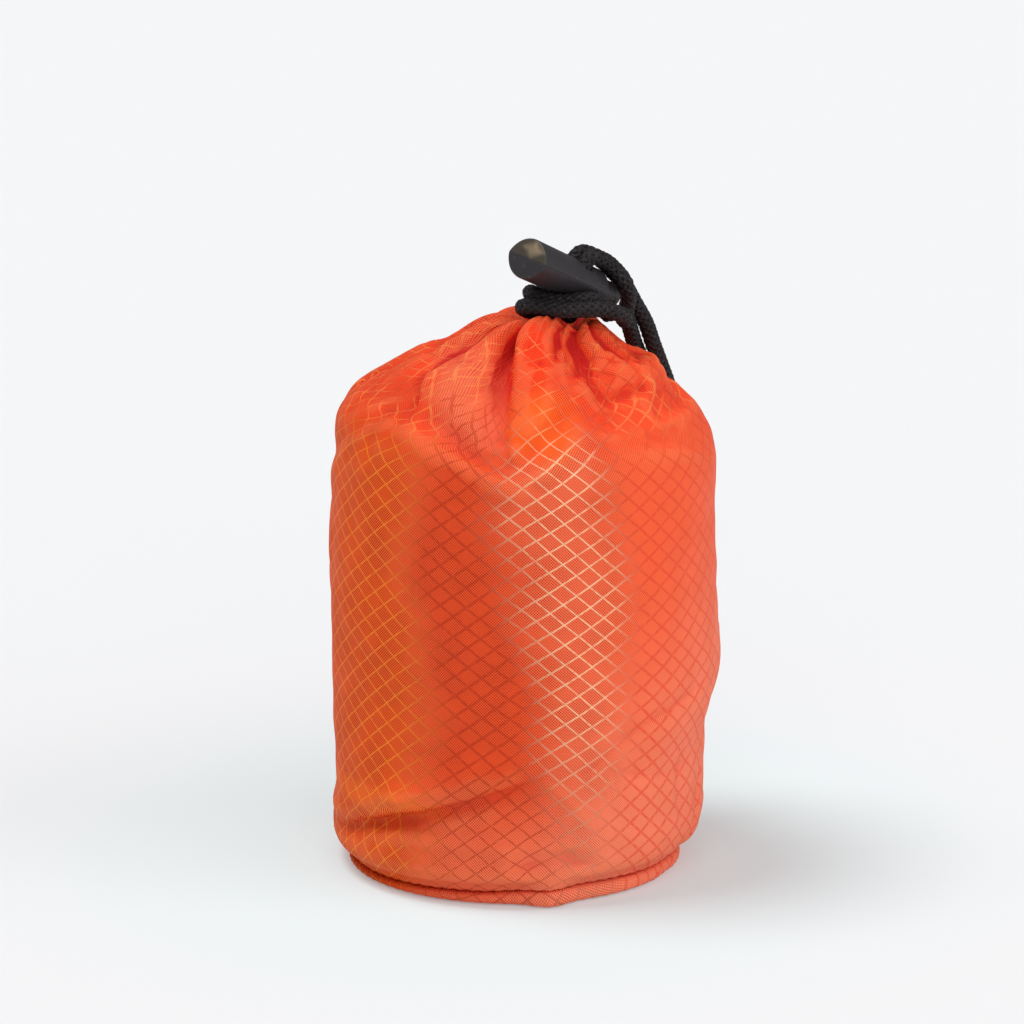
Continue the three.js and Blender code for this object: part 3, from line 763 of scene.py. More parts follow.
def yarn(bm, points, frames, middle, section, sides, lengths):
    """Adds one closed tube to bm. middle(index) gives the angle and radius of its centreline
    about the points, and section its half width and half thickness."""
    steps = len(points) - 1
    made = bmesh.ops.create_grid(bm, x_segments=steps, y_segments=sides, size=1, calc_uvs=True)
    layer = bm.loops.layers.uv.active
    wide, thick = section
    for vert in made["verts"]:
        index = round((vert.co.x + 1) / 2 * steps)
        spoke = round((vert.co.y + 1) / 2 * sides)
        for loop in vert.link_loops:
            loop[layer].uv = (lengths[index], spoke / sides)
        angle, radius = middle(index)
        side, up = frames[index]
        out = side * math.cos(angle) + up * math.sin(angle)
        across = up * math.cos(angle) - side * math.sin(angle)
        turn = 2 * math.pi * spoke / sides
        size = 0.0 if index in (0, steps) else 1.0
        vert.co = MM * (
            points[index]
            + out * (radius + thick * size * math.cos(turn))
            + across * (wide * size * math.sin(turn))
        )


def braided_cord(name, route, settings, spacing=0.26):
    """A round cord of interlaced yarns about a plain core, along a route in millimetres."""
    points = smooth_route(route, spacing)
    frames = carried_frames(points)
    radius = settings.diameter / MM / 2
    turn_rate = 2 * math.pi / (settings.lay / MM)
    step = (points[1] - points[0]).length
    lengths = [index * step for index in range(len(points))]
    bm = bmesh.new()
    bm.loops.layers.uv.new("cloth")
    count = settings.carriers
    middle_radius = radius * 0.77
    for carrier in range(count):
        for hand in (1, -1):
            start = 2 * math.pi * carrier / count + (0 if hand > 0 else math.pi / count)

            def middle(index, start=start, hand=hand):
                wave = math.cos(count * turn_rate * lengths[index] + math.pi / 2)
                return (
                    start + hand * turn_rate * lengths[index],
                    middle_radius + hand * 0.07 * radius * wave,
                )

            yarn(bm, points, frames, middle, (0.40 * radius, 0.21 * radius), 6, lengths)
    core_points = points[::3] + ([] if (len(points) - 1) % 3 == 0 else [points[-1]])
    core_lengths = lengths[::3] + ([] if (len(points) - 1) % 3 == 0 else [lengths[-1]])
    core_frames = carried_frames(core_points)
    core = (0.80 * radius, 0.80 * radius)
    yarn(bm, core_points, core_frames, lambda index: (0.0, 0.0), core, 10, core_lengths)
    bmesh.ops.remove_doubles(bm, verts=bm.verts, dist=2e-6)
    return mesh_object(name, bm), points


def cord_finish(settings):
    finish = Finish("braided_cord")
    place = finish.place()
    along, across, _ = finish.axes(finish.node("ShaderNodeUVMap", {"uv_map": "cloth"}))
    fibres = finish.speckle(
        finish.node("ShaderNodeCombineXYZ", {}, along * 1.2, across * 16.0, 0.0), 1.0, 3.0
    )
    glint_speckle = finish.speckle(place, 2600.0, 2.0)
    patches = finish.speckle(place, 260.0, 2.0)
    # Painted glints: grey specks on the black yarns where the fibres catch the light, thinned out
    # in patches
    lit = (fibres * 0.6 + glint_speckle * 0.4).between(0.54, 0.70)
    speckled = lit * patches.between(0.42, 0.60)
    tone = finish.blend(speckled, settings.colour, (0.110, 0.110, 0.125, 1))
    finish.set(
        Base_Color=tone,
        Roughness=0.62 - lit * 0.20,
        Normal=finish.bump(fibres, 0.06 * MM, 0.9),
        Specular_IOR_Level=0.28,
    )
    return finish


class SACK_OT_stage(bpy.types.Operator):
    """Makes the camera, the floor and the lights"""

    bl_idname = "sack.stage"
    bl_label = "Camera, floor and lights"

    def execute(self, context):
        settings = context.scene.sack_stage
        scene = context.scene
        data = bpy.data.cameras.new("camera")
        data.sensor_width = 36
        data.lens = 36 * settings.distance / settings.view_width
        data.clip_end = 50
        camera = bpy.data.objects.new("camera", data)
        back = Vector((0, -math.cos(settings.elevation), math.sin(settings.elevation)))
        camera.location = VIEW_CENTRE * MM + back * settings.distance
        camera.rotation_euler = (-back).to_track_quat("-Z", "Y").to_euler()
        context.collection.objects.link(camera)
        scene.camera = camera
        scene.view_settings.view_transform = "Standard"

        bm = bmesh.new()
        bmesh.ops.create_grid(bm, x_segments=8, y_segments=8, size=4)
        for vert in bm.verts:
            vert.co.z = -FLOOR_DROP
        floor = mesh_object("floor", bm, recalc=False)
        finish = Finish("floor")
        place = finish.place()
        x, y, _ = finish.axes(place)
        # Painted tint: near the sack the floor's red is painted down, to cancel the orange light
        # that the cloth throws on it
        near = 1 - (x * x + y * y).root().between(0.030, 0.125)
        grain = finish.speckle(place, 30.0, 3.0)
        shade = finish.blend(grain * 0.04, (0.625, 0.630, 0.640, 1), (0.58, 0.585, 0.595, 1))
        shade = finish.blend(near, shade, (0.54, 0.635, 0.645, 1))
        finish.set(
            Base_Color=shade,
            Roughness=0.9,
            Specular_IOR_Level=0.0,
            Emission_Color=settings.floor,
            Emission_Strength=0.24,
        )
        floor.data.materials.append(finish.material)

        world = bpy.data.worlds.new("studio")
        world.use_nodes = True
        background = world.node_tree.nodes["Background"]
        background.inputs["Color"].default_value = (1.0, 1.0, 1.0, 1.0)
        background.inputs["Strength"].default_value = 0.29
        scene.world = world

        # Suns with wide discs, so that the floor is lit evenly out to its edge
        lamp_rows = [
            ("key", (-0.37, 0.05, 0.93), 30, 1.75),
            ("front", (0.10, -0.80, 0.60), 50, 0.90),
            ("right", (0.80, -0.35, 0.50), 50, 0.92),
        ]
        for name, way, disc, power in lamp_rows:
            light = bpy.data.lights.new(name, "SUN")
            light.angle = math.radians(disc)
            light.energy = power
            lamp = bpy.data.objects.new(name, light)
            lamp.location = way
            lamp.rotation_euler = (-Vector(way)).to_track_quat("-Z", "Y").to_euler()
            context.collection.objects.link(lamp)
        return {"FINISHED"}


class SACK_OT_cords(bpy.types.Operator):
    """Makes the two braided strands of the drawcord"""

    bl_idname = "sack.cords"
    bl_label = "Drawcord"

    def execute(self, context):
        settings = context.scene.sack_cord
        finish = finish_of("braided_cord", cord_finish, settings)
        for letter, route in (("a", ROUTE_A), ("b", ROUTE_B)):
            piece, points = braided_cord("braid_" + letter, route, settings)
            dress(piece, finish)
            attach(piece, "sack")
            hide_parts("drawcord_" + letter)
            path = [point * MM for point in points[::6]] + [points[-1] * MM]
            length = sum((b - a).length for a, b in zip(path, path[1:]))
        return {"FINISHED"}


class SACK_OT_knot(bpy.types.Operator):
    """Makes the overhand knot that ties the ends of the two strands"""

    bl_idname = "sack.knot"
    bl_label = "Knot"

    def execute(self, context):
        settings = context.scene.sack_cord
        turns = []
        for step in range(31):
            share = step / 30
            angle = math.radians(90 + 900 * share)
            radius = 2.35 * (1 - 0.25 * abs(2 * share - 1) ** 3)
            aside, ahead = radius * math.cos(angle), radius * 0.86 * math.sin(angle)
            turns.append(KNOT_PLACE + Vector((aside, ahead, mix(2.9, -2.9, share))))
        knot, _ = braided_cord("knot_turns", turns, settings)
        tails = []
        for side in (-1, 1):
            tail_end = (side * 2.7, -0.2 * side, -8.6)
            route = [(side * 1.5, 0, 1.0), (side * 1.9, 0.1, -3.4), tail_end]
            route = [KNOT_PLACE + Vector(spot) for spot in route]
            tail, _ = braided_cord("knot_tail", route, settings)
            tails.append(tail)
        with context.temp_override(
            active_object=knot, object=knot, selected_editable_objects=[knot] + tails
        ):
            bpy.ops.object.join()
        dress(knot, finish_of("braided_cord", cord_finish, settings))
        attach(knot, "sack")
        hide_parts("cord_knot")
        return {"FINISHED"}


class SACK_OT_wall(bpy.types.Operator):
    """Makes the filled wall of the sack, from its base seam to the gathered mouth"""

    bl_idname = "sack.wall"
    bl_label = "Filled wall"

    def execute(self, context):
        settings = context.scene.sack_cloth
        columns, rows = settings.columns, settings.rows
        levels = row_levels(rows)
        sides = [Column(360 * index / columns) for index in range(columns)]
        bands = [Row(level) for level in levels]
        grid = [[sack_point(band, side) for side in sides] for band in bands]
        around_cloth, up_cloth = self.flat_cloth(grid, columns)
        wrinkle = settings.wrinkle / MM
        creased = self.creased(context, grid, bands)
        places = []
        for r, line in enumerate(grid):
            row_places = []
            for c, (point, way, _) in enumerate(line):
                side = sides[c]
                height = bands[r].section.height
                radius = side.reach(bands[r].section)
                inner = clamp01(radius / 9) if bands[r].in_mouth else 1.0
                gather = clamp01((height - 80) / 18) if not bands[r].in_mouth else inner
                drop = fold_drop(side.azimuth, height, radius) * inner
                ring = Vector((side.side, side.ahead, 0)) * 35
                tall = up_cloth[r]
                streak = noise.noise(Vector((ring.x / 5.5, ring.y / 5.5, tall / 26)))
                fine = noise.noise(Vector((ring.x / 2.6, ring.y / 2.6, tall / 15 + 9)))
                small = wrinkle * gather * (abs(streak) * 2.2 + abs(fine) * 1.0 - 0.6)
                body = noise.noise(point / 13 + Vector((3, 1, 7))) * 0.34
                crumple = (0.22 - abs(noise.noise(point / 6.5))) * 0.34
                low = clamp01((height - SEAM_MEAN) / 6)
                crown = clamp01((height - 2) / 3)
                drop += small * inner + (body + crumple) * low * crown * (1 - 0.5 * gather)
                if height < 10 and not bands[r].in_mouth:
                    pucker = math.sin(2 * math.pi * around_cloth[r][c] / SEAM_PUCKER)
                    drop += 0.10 * pucker * math.exp(-(height - SEAM_MEAN) / 1.3)
                drop -= creased(r, c)
                row_places.append(point - way * drop)
            places.append(row_places)
        centre = sum(places[rows], Vector()) / columns
        places[rows] = [centre] * columns
        hollows = self.hollows(places, grid)

        middle = Vector((SECTIONS[0].middle, 0, SEAM_MEAN + PIECE_GAP / 2))

        def place(column, row):
            if row == 0:
                return middle
            point = places[row - 1][0 if row == rows + 1 else column % columns].copy()
            if row == 1:
                point.z += PIECE_GAP / 2
            return point

        def cloth(column, row):
            line = max(row - 1, 0)
            return around_cloth[line][column] / CLOTH_GIRTH, up_cloth[line] / CLOTH_GIRTH

        def depth(column, row):
            return hollows[max(row - 1, 0)][column % columns]

        wall = grid_object("cloth_wall", columns, rows + 1, place, cloth, depth)
        dress(wall, finish_of("ripstop_nylon", ripstop, settings))
        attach(wall, "sack")
        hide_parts("sack_wall")
        return {"FINISHED"}

    def flat_cloth(self, grid, columns):
        """Where each point lies on the flat cloth: its way round for each row and column, and
        its way up for each row. What is spare in a row is tucked into the pleats."""
        around_cloth = []
        for line in grid:
            gaps = [(line[i][0] - line[i - 1][0]).length for i in range(columns)]
            whole = max(sum(gaps), 1e-6)
            spare = CLOTH_GIRTH - whole
            hidden = [max(line[i][2] - 0.6, 0.0) ** 2 + 0.02 for i in range(columns)]
            total = sum(hidden)
            tucked = clamp01(spare / 60)
            here, lengths = 0.0, []
            for i in range(columns):
                share = mix(gaps[i] / whole, hidden[i] / total, tucked)
                here += gaps[i] + spare * share if i else 0.0
                lengths.append(here)
            around_cloth.append(lengths + [CLOTH_GIRTH])
        up_cloth = [0.0]
        for low, high in zip(grid, grid[1:]):
            climbs = [(high[i][0] - low[i][0]).length for i in range(columns)]
            up_cloth.append(up_cloth[-1] + sum(climbs) / columns)
        return around_cloth, up_cloth

    def creased(self, context, grid, bands):
        """A short cloth simulation of a cover that is a little too large for what fills it, on
        every fourth point of the wall. Gives how far out each point of the wall creases."""
        lines = [r for r in range(0, len(grid), SIM_STEP) if not bands[r].in_mouth]
        count = len(grid[0]) // SIM_STEP
        bm = bmesh.new()
        verts = [
            [bm.verts.new(grid[r][c * SIM_STEP][0] * SIM_SCALE) for c in range(count)]
            for r in lines
        ]
        for low, high in zip(verts, verts[1:]):
            for c in range(count):
                after = (c + 1) % count
                bm.faces.new((low[c], low[after], high[after], high[c]))
        cover = mesh_object("creasing", bm)
        held = cover.vertex_groups.new(name="held")
        for index, r in enumerate(lines):
            height = bands[r].section.height
            pinned = not 4.0 < height < 99.0
            spots = list(range(index * count, (index + 1) * count))
            held.add(spots, 1.0 if pinned else 0.02, "REPLACE")
        cloth = cover.modifiers.new("cloth", "CLOTH")
        rules = cloth.settings
        rules.quality = 6
        rules.mass = 0.25
        rules.tension_stiffness = rules.compression_stiffness = 18
        rules.shear_stiffness = 8
        rules.bending_stiffness = 0.15
        rules.air_damping = 2
        rules.use_pressure = True
        rules.uniform_pressure_force = 1.5
        rules.shrink_min = rules.shrink_max = -0.035
        rules.vertex_group_mass = "held"
        rules.effector_weights.gravity = 0
        cloth.collision_settings.use_collision = False
        for frame in range(1, SIM_FRAMES + 1):
            context.scene.frame_set(frame)
        settled = cover.evaluated_get(context.evaluated_depsgraph_get()).data
        out = []
        for index, r in enumerate(lines):
            row = []
            for c in range(count):
                point, way, _ = grid[r][c * SIM_STEP]
                moved = settled.vertices[index * count + c].co / SIM_SCALE - point
                row.append(moved.dot(way))
            out.append(row)
        context.scene.frame_set(1)
        bpy.data.objects.remove(cover)

        last = len(lines) - 1
        fine = []
        for index in range(last + 1):
            row = []
            for c in range(count):
                near = [
                    out[min(max(index + up, 0), last)][(c + side) % count]
                    for up in (-4, -2, 0, 2, 4)
                    for side in (-4, -2, 0, 2, 4)
                ]
                crease = out[index][c] - sum(near) / len(near)
                row.append(min(max(crease, -SIM_CAP), SIM_CAP))
            fine.append(row)

        def at(row, column):
            index, up = divmod(row, SIM_STEP)
            first, side = divmod(column, SIM_STEP)
            rows = [fine[min(max(index + step, 0), last)] for step in (-1, 0, 1, 2)]
            turns = [(first + step) % count for step in (-1, 0, 1, 2)]
            values = [catmull(*(line[turn] for turn in turns), side / SIM_STEP) for line in rows]
            return catmull(*values, up / SIM_STEP)

        return at

    def hollows(self, places, grid):
        """How far each point lies in behind the cloth two millimetres round it, below 0 on a
        ridge and above 0 in a hollow."""
        rows, columns = len(places), len(places[0])
        marks = []
        for r, line in enumerate(places):
            below, above = places[max(r - 4, 0)], places[min(r + 4, rows - 1)]
            span = sum((line[i] - line[i - 1]).length for i in range(0, columns, 4)) / columns * 4
            step = min(max(round(2.2 / max(span, 0.02)), 4), 20)
            row_marks = []
            for c, point in enumerate(line):
                left, right = (c - step) % columns, (c + step) % columns
                near = line[left] + line[right] + below[c] + above[c]
                near += below[left] + below[right] + above[left] + above[right]
                inward = (near / 8 - point).dot(grid[r][c][1]) / 0.8
                row_marks.append(min(max(inward, -1.0), 1.0))
            marks.append(row_marks)
        return marks


def ripstop(settings):
    """Ripstop nylon: a fine plain weave crossed by thicker threads in diamonds."""
    finish = Finish("ripstop_nylon")
    place = finish.place()
    x, y, z = (axis * 1000.0 for axis in finish.axes(place))
    u, v, _ = finish.axes(finish.node("ShaderNodeUVMap", {"uv_map": "UVMap"}))
    inward = finish.node("ShaderNodeAttribute", {"attribute_name": "hollow"}, output="Fac")
    hollow = inward.between(0.08, 0.62)
    # Painted highlight: ridge marks the crests of the folds, which are painted a paler orange
    ridge = (inward * -1).between(0.14, 0.55)

    def spot(middle_x, middle_z, reach_x, reach_z):
        """1 in the middle of an oval of the front, 0 outside it."""
        aside = (x - middle_x) / reach_x
        higher = (z - middle_z) / reach_z
        return (1 - (aside * aside + higher * higher).between(0.15, 1.3)) * y.between(4.0, -4.0)

    # The tones go by zone as painted light and shade: the threads catch the light differently
    # across the sack, the left side is painted darker and the right side brighter
    wander = finish.speckle(place, 30.0, 4.0) * 20.0 - 10.0
    across = x + wander
    left = 1 - across.between(-25.0, -14.0)
    right = across.between(11.0, 23.0)
    slanted = x + wander * 1.3 + (z - 55.0) * 0.16
    band = slanted.between(-6.0, 8.0) * (1 - slanted.between(10.0, 25.0))
    band = band * (z.between(12.0, 42.0) * 0.6 + 0.4)
    top = (z + wander * 0.4).between(80.0, 90.0)
    middle = ((1 - left) * (1 - band) * (1 - right)).clamped() * (z + wander).between(6.0, 26.0)
    broad = (middle + right).clamped()

    drift = finish.speckle(place, 70.0, 2.0) * 0.14
    climb = v * (CLOTH_GIRTH * MM / settings.diamond_height) + x.larger(0.0) * 0.045
    p = u * float(settings.diamond_count) + climb + drift
    q = u * float(settings.diamond_count) - climb + drift * 0.7
    low, high = broad * 0.012 + 0.026, broad * 0.055 + 0.066
    speckled = finish.speckle(place, 1100.0, 2.0).between(0.30, 0.55)
    thread = (1 - p.off_whole().between(low, high)).larger(1 - q.off_whole().between(low, high))
    thread = thread * (0.50 + speckled * 0.50)

    turns = 2 * math.pi * WEAVE_COUNT
    weave = (u * turns).sine() * (v * turns).sine()
    hatch = ((u - v) * turns).sine()
    lined = (left + right * 0.7).clamped() * 0.65
    grain = weave * (1 - lined) + hatch * lined
    holes = (grain * -1).between(-0.10, 0.65)
    patchy = finish.speckle(place, 150.0, 3.0).between(0.32, 0.66)

    low_right = (x * 0.05 - z * 0.03 + wander * 0.05).between(-0.9, 0.8)
    # Painted highlight: a bright orange oval on the front lobe of the gathered top
    highlight_spot = spot(3.0, 87.5, 7.5, 6.5)
    # Painted shade: pleat marks a deep red oval in the valley of the front pleat
    pleat = spot(1.0, 96.0, 5.0, 9.0)
    # Painted shade: deep marks the hollows, painted a deep red, more so up at the gathered top; it
    # also hides the threads and weave there
    deep = hollow * (0.22 + z.between(87.0, 96.0) * 0.68)
    open_weave = holes * (0.50 + patchy * 0.38) * (1 - right * 0.45)
    open_weave = open_weave * (1 - highlight_spot * 0.5 - pleat * 0.4)
    lifted = grain.between(0.25, 0.95) * (0.35 + patchy * 0.65) * (1 - middle * 0.6) * (1 - deep)
    rows = [
        (middle, (0.84, 0.078, 0.018, 1)),
        # Painted shade: the left side painted a darker orange
        (left, settings.cloth_left_shade),
        # Painted light: the right side painted a brighter coral red
        (right, (1.0, 0.118, 0.038, 1)),
        # Painted light: paler coral towards the lower right
        (low_right * (1 - left) * 0.70, (1.0, 0.270, 0.155, 1)),
        # Painted shade: the gathered top painted a deeper red, as shade among its pleats
        (top * 0.85, (0.96, 0.058, 0.014, 1)),
        # Painted light: a paler oval on the broad slope left of the front pleat
        (spot(-9.5, 91.0, 8.5, 9.0) * 0.75, (1.0, 0.170, 0.080, 1)),
        # Painted shade in the front pleat's valley
        (pleat * 0.9, (0.96, 0.036, 0.002, 1)),
        # Painted highlight on the front lobe
        (highlight_spot * 0.9, (1.0, 0.105, 0.004, 1)),
        # Painted highlight: a bright orange band above the crease low on the left
        (spot(-25.0, 17.0, 12.0, 3.0) * 0.8, (1.0, 0.150, 0.010, 1)),
        # Painted highlight on the fold crests
        (ridge * 0.25, (1.0, 0.240, 0.090, 1)),
        # Painted shade in the hollows
        (deep, (0.66, 0.010, 0.014, 1)),
        (open_weave, (0.26, 0.014, 0.002, 1)),
        (lifted * (0.30 + right * 0.18), (1.0, 0.34, 0.17, 1)),
    ]
    cloth = finish.layers(settings.cloth, rows)

    # Painted glints: the threads over the gathered top speckled between dark red and bright orange
    thread_glints = finish.speckle(place, 95.0, 2.0).between(0.44, 0.60)
    top_tone = finish.blend(thread_glints, (0.56, 0.030, 0.010, 1), (1.0, 0.29, 0.08, 1))
    rows = [
        (left, (1.0, 0.30, 0.025, 1)),
        (band, settings.thread_pale),
        (right, (0.80, 0.050, 0.022, 1)),
        (top * 0.9, top_tone),
    ]
    yarn_tone = finish.layers(settings.thread_dark, rows)
    shown = thread * (0.55 + band * 0.33 * (1 - top)) * (1 - deep * 0.7)
    tone = finish.blend(shown, cloth, yarn_tone)

    relief = grain * 0.5 + thread * 1.6
    finish.set(
        Base_Color=tone,
        Roughness=0.58 + patchy * 0.12 - thread * 0.08,
        Normal=finish.bump(relief, 0.06 * MM, 0.6),
        Specular_IOR_Level=0.10,
    )
    return finish


class SACK_OT_base(bpy.types.Operator):
    """Makes the round base panel, with its turned edge at the seam"""

    bl_idname = "sack.base"
    bl_label = "Base panel"

    def execute(self, context):
        columns = context.scene.sack_cloth.columns
        # How far in the rim's edge lies, and where between the floor and the seam
        profile = [
            (1.9, 0.0), (0.7, 0.03), (0.15, 0.14), (0.0, 0.38),
            (0.05, 0.66), (0.25, 0.9), (0.9, 1.0),
        ]
        first = Row(0)
        rim = [sack_point(first, Column(360 * index / columns))[0] for index in range(columns)]
        seam = [Column(360 * index / columns).seam for index in range(columns)]
        centre = SECTIONS[0].middle
        inner = 6
        rows = len(profile) + 1 + inner

        def place(column, row):
            column %= columns
            outward = Vector((rim[column].x - centre, rim[column].y, 0))
            radius = outward.length
            outward.normalize()
            if row <= inner:
                share = row / (inner + 1)
                ripple = 0.12 * noise.noise(outward * radius * share / 6) if row else 0.0
                reach = (radius - profile[0][0]) * share
                return Vector((centre, 0, max(ripple, 0.0))) + outward * reach
            if row == rows:
                return Vector((centre, 0, SEAM_MEAN - PIECE_GAP / 2))
            inset, share = profile[row - inner - 1]
            pucker = 0.09 * math.sin(2 * math.pi * column * BASE_PUCKERS / columns)
            top = SEAM_MEAN + seam[column] - PIECE_GAP / 2
            spot = Vector((centre, 0, top * share))
            return spot + outward * (radius - inset + (pucker if 0 < share < 1 else 0))

        def cloth(column, row):
            turn = 2 * math.pi * column / columns
            reach = BASE_REACH * min(row / inner, 1) + BASE_STEP * max(row - inner, 0)
            share = reach / CLOTH_GIRTH
            return 0.5 + share * math.sin(turn), 0.5 + share * math.cos(turn)

        base = grid_object("cloth_base", columns, rows, place, cloth, lambda c, r: 0.0)
        dress(base, finish_of("ripstop_nylon", ripstop, context.scene.sack_cloth))
        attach(base, "sack")
        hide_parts("sack_base")
        return {"FINISHED"}


def lens_outline(width, thickness, count):
    """Points of a lens: two shallow arcs that meet in a ridge on either side."""
    half, rise = width / 2, thickness / 2
    radius = (half**2 + rise**2) / (2 * rise)
    spread = math.asin(half / radius)
    points = []
    for sign in (1, -1):
        for step in range(count):
            turn = mix(-spread, spread, step / count)
            up = radius * math.cos(turn) - radius + rise
            points.append((sign * radius * math.sin(turn), sign * up))
    return points


def bevel(bm, edges, offset):
    bmesh.ops.bevel(
        bm,
        geom=edges,
        offset=offset,
        offset_type="OFFSET",
        affect="EDGES",
        segments=3,
        profile=0.5,
        material=-1,
        clamp_overlap=True,
    )


def extruded(bm, outline, way):
    """Adds a face with that outline to bm, and carries it along the way to close a bar."""
    face = bm.faces.new([bm.verts.new(spot) for spot in outline])
    made = bmesh.ops.extrude_face_region(bm, geom=[face])
    top = [item for item in made["geom"] if isinstance(item, bmesh.types.BMVert)]
    bmesh.ops.translate(bm, verts=top, vec=way)


def prism(name, outline, start, end, edge=0.0, taper=1.0, ridge=0.0):
    """A straight bar in the lock's frame, its section the outline. Its end edges are rounded by
    edge, and the two lengthwise edges furthest out by ridge."""
    bm = bmesh.new()
    extruded(bm, [(x, y, start) for x, y in outline], (0, 0, end - start))
    if ridge:
        half = max(abs(x) for x, _ in outline)
        ridges = [e for e in bm.edges if all(abs(v.co.x) > half - 1e-4 for v in e.verts)]
        bevel(bm, ridges, ridge)
    if edge:
        rims = [e for e in bm.edges if abs(e.verts[0].co.z - e.verts[1].co.z) < 1e-6]
        bevel(bm, rims, edge)
    for vert in bm.verts:
        size = mix(taper, 1, vert.co.z / BARREL_LENGTH)
        vert.co = MM * in_lock(vert.co.x * size, vert.co.y * size, vert.co.z)
    return mesh_object(name, bm)


def ellipse_outline(width, thickness, count=48):
    turns = [2 * math.pi * step / count for step in range(count)]
    return [(width / 2 * math.cos(turn), thickness / 2 * math.sin(turn)) for turn in turns]


def cord_slot(start, end):
    """The slot for the strands, along the lock's thickness, as a bar with round ends."""
    bm = bmesh.new()
    half, round_end = HOLE_WIDTH / 2, HOLE_LENGTH / 2
    corners = (
        (half - round_end, end - round_end, 0),
        (round_end - half, end - round_end, 90),
        (round_end - half, start + round_end, 180),
        (half - round_end, start + round_end, 270),
    )
    outline = []
    for x, z, first in corners:
        for step in range(7):
            turn = math.radians(first + 15 * step)
            outline.append((x + round_end * math.cos(turn), -10, z + round_end * math.sin(turn)))
    extruded(bm, outline, (0, 20, 0))
    for vert in bm.verts:
        vert.co = MM * in_lock(*vert.co)
    return mesh_object("slot_cutter", bm)


def combine(piece, other, operation):
    """Joins the other to the piece or cuts it out, and removes the other."""
    step = piece.modifiers.new("combine", "BOOLEAN")
    step.operation = operation
    step.solver = "EXACT"
    step.object = other
    with bpy.context.temp_override(active_object=piece, object=piece):
        bpy.ops.object.modifier_apply(modifier=step.name)
    bpy.data.objects.remove(other)


def cut(piece, cutters):
    """Cuts the cutters out of the piece, and sharpens its edges."""
    for cutter in cutters:
        combine(piece, cutter, "DIFFERENCE")
    piece.data.shade_smooth()
    piece.data.set_sharp_from_angle(angle=math.radians(32))


def lock_finish(settings):
    finish = Finish("moulded_lock")
    place = finish.place()
    grain = finish.speckle(place, 3800.0, 2.0)
    cloud = finish.speckle(place, 420.0, 3.0)
    wear = finish.speckle(place, 900.0, 3.0).between(0.60, 0.72)
    end_way = finish.along(place, LOCK_ALONG)
    end_place = in_lock(0, 0, BARREL_LENGTH - 0.1).dot(LOCK_ALONG) * MM
    end = (end_way - end_place).between(-0.0001, 0.00005)
    lift = finish.along(place, LOCK_UP) - LOCK_MOUTH.dot(LOCK_UP) * MM
    parting = 1 - lift.size().between(0.00003, 0.00010)
    sideways = finish.along(place, LOCK_SIDE) - LOCK_MOUTH.dot(LOCK_SIDE) * MM
    # Painted sheen: a bronze glint on the upper half of the closed end, brightest about a point
    # off its centre
    off_centre = (sideways * 1000.0 - 0.8).size() * 0.24 + (lift * 1000.0 - 1.9).size() * 0.42
    sheen_falloff = 1 - off_centre.between(0.15, 0.95)
    bronze_sheen = end * lift.between(0.0, 0.0002) * (sheen_falloff * (0.55 + cloud.between(0.35, 0.62) * 0.45))
    rows = [
        (cloud * 0.5, (0.040, 0.038, 0.044, 1)),
        # Painted sheen: the upper half of the closed end a lighter brown
        (end * lift.between(0.0, 0.0002) * 0.8, (0.055, 0.043, 0.030, 1)),
        (bronze_sheen * 0.9, (0.34, 0.25, 0.15, 1)),
        (wear * 0.25, (0.10, 0.10, 0.11, 1)),
        (parting * 0.8, (0.003, 0.003, 0.004, 1)),
    ]
    tone = finish.layers(settings.colour, rows)
    finish.set(
        Base_Color=tone,
        Roughness=0.42 + grain * 0.14 + bronze_sheen * 0.12,
        Normal=finish.bump(grain * 0.35 + cloud * 0.4 - parting * 1.6, 0.05 * MM, 0.6),
        Specular_IOR_Level=0.34,
    )
    return finish


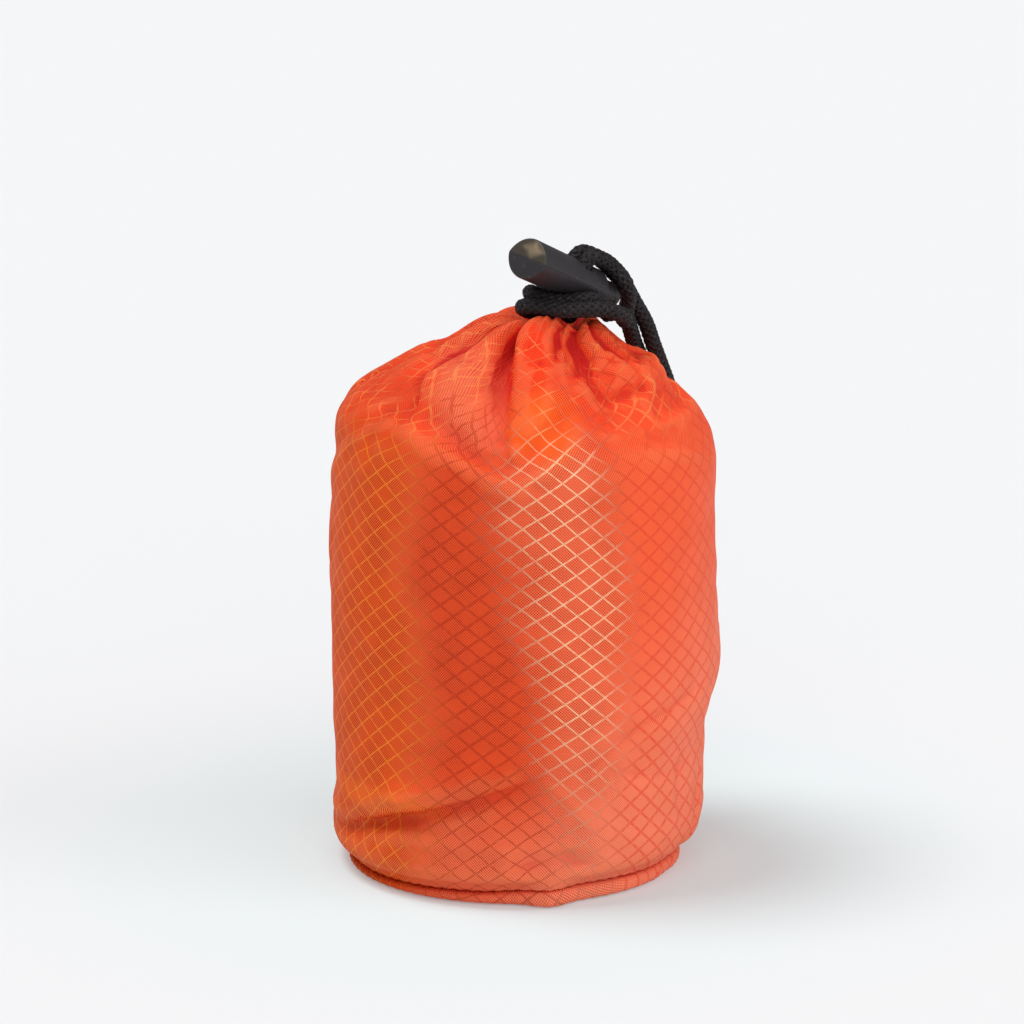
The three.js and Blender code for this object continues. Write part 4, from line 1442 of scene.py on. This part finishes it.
class SACK_OT_lock(bpy.types.Operator):
    """Makes the cord lock: its barrel and its sprung plunger"""

    bl_idname = "sack.lock"
    bl_label = "Cord lock"

    def execute(self, context):
        settings = context.scene.sack_lock
        finish = finish_of("moulded_lock", lock_finish, settings)
        length, width, thickness = (
            value / MM for value in (settings.length, settings.width, settings.thickness)
        )
        lens = lens_outline(width, thickness, 24)
        barrel = prism("barrel", lens, 0, length, edge=0.40, taper=0.95, ridge=0.3)
        bore = prism("bore_cutter", ellipse_outline(8.4, 5.0), -1, 14)
        start = HOLE_CENTRE - HOLE_LENGTH / 2
        cut(barrel, [bore, cord_slot(start, start + HOLE_LENGTH)])
        dress(barrel, finish)
        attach(barrel, "sack")
        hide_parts("lock_barrel")

        inner = HOLE_CENTRE + HOLE_LENGTH / 2
        under = -PLUNGER_TRAVEL - PLUNGER_CLEARANCE
        plunger = prism("plunger", ellipse_outline(7.8, 4.4), under - 0.4, inner + 2.2, edge=0.2)
        head = prism("head", ellipse_outline(8.2, 5.0), under - 1.3, under, edge=0.35)
        combine(plunger, head, "UNION")
        cut(plunger, [cord_slot(start - PLUNGER_TRAVEL, inner)])
        dress(plunger, finish)
        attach(plunger, "plunger")
        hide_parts("lock_plunger")
        return {"FINISHED"}


class SACK_PT_panel(bpy.types.Panel):
    bl_label = "Packed sack"
    bl_space_type = "VIEW_3D"
    bl_region_type = "UI"
    bl_category = "Sack"

    def draw(self, context):
        for operator in OPERATORS:
            self.layout.operator(operator.bl_idname)
        for name in ("sack_cloth", "sack_cord", "sack_lock", "sack_stage"):
            group = getattr(context.scene, name)
            box = self.layout.box()
            for key in group.__annotations__:
                box.prop(group, key)


OPERATORS = (
    SACK_OT_stage,
    SACK_OT_knot,
    SACK_OT_cords,
    SACK_OT_lock,
    SACK_OT_wall,
    SACK_OT_base,
)
GROUPS = (
    ("sack_cloth", SackSettings),
    ("sack_cord", CordSettings),
    ("sack_lock", LockSettings),
    ("sack_stage", StageSettings),
)


def register():
    for name, group in GROUPS:
        bpy.utils.register_class(group)
        setattr(bpy.types.Scene, name, PointerProperty(type=group))
    for item in OPERATORS + (SACK_PT_panel,):
        bpy.utils.register_class(item)


def unregister():
    for item in reversed(OPERATORS + (SACK_PT_panel,)):
        bpy.utils.unregister_class(item)
    for name, group in reversed(GROUPS):
        delattr(bpy.types.Scene, name)
        bpy.utils.unregister_class(group)


def main():
    register()
    bpy.ops.sack.stage()
    bpy.ops.sack.knot()
    bpy.ops.sack.cords()
    bpy.ops.sack.lock()
    bpy.ops.sack.wall()
    bpy.ops.sack.base()


if __name__ == "__main__":
    main()
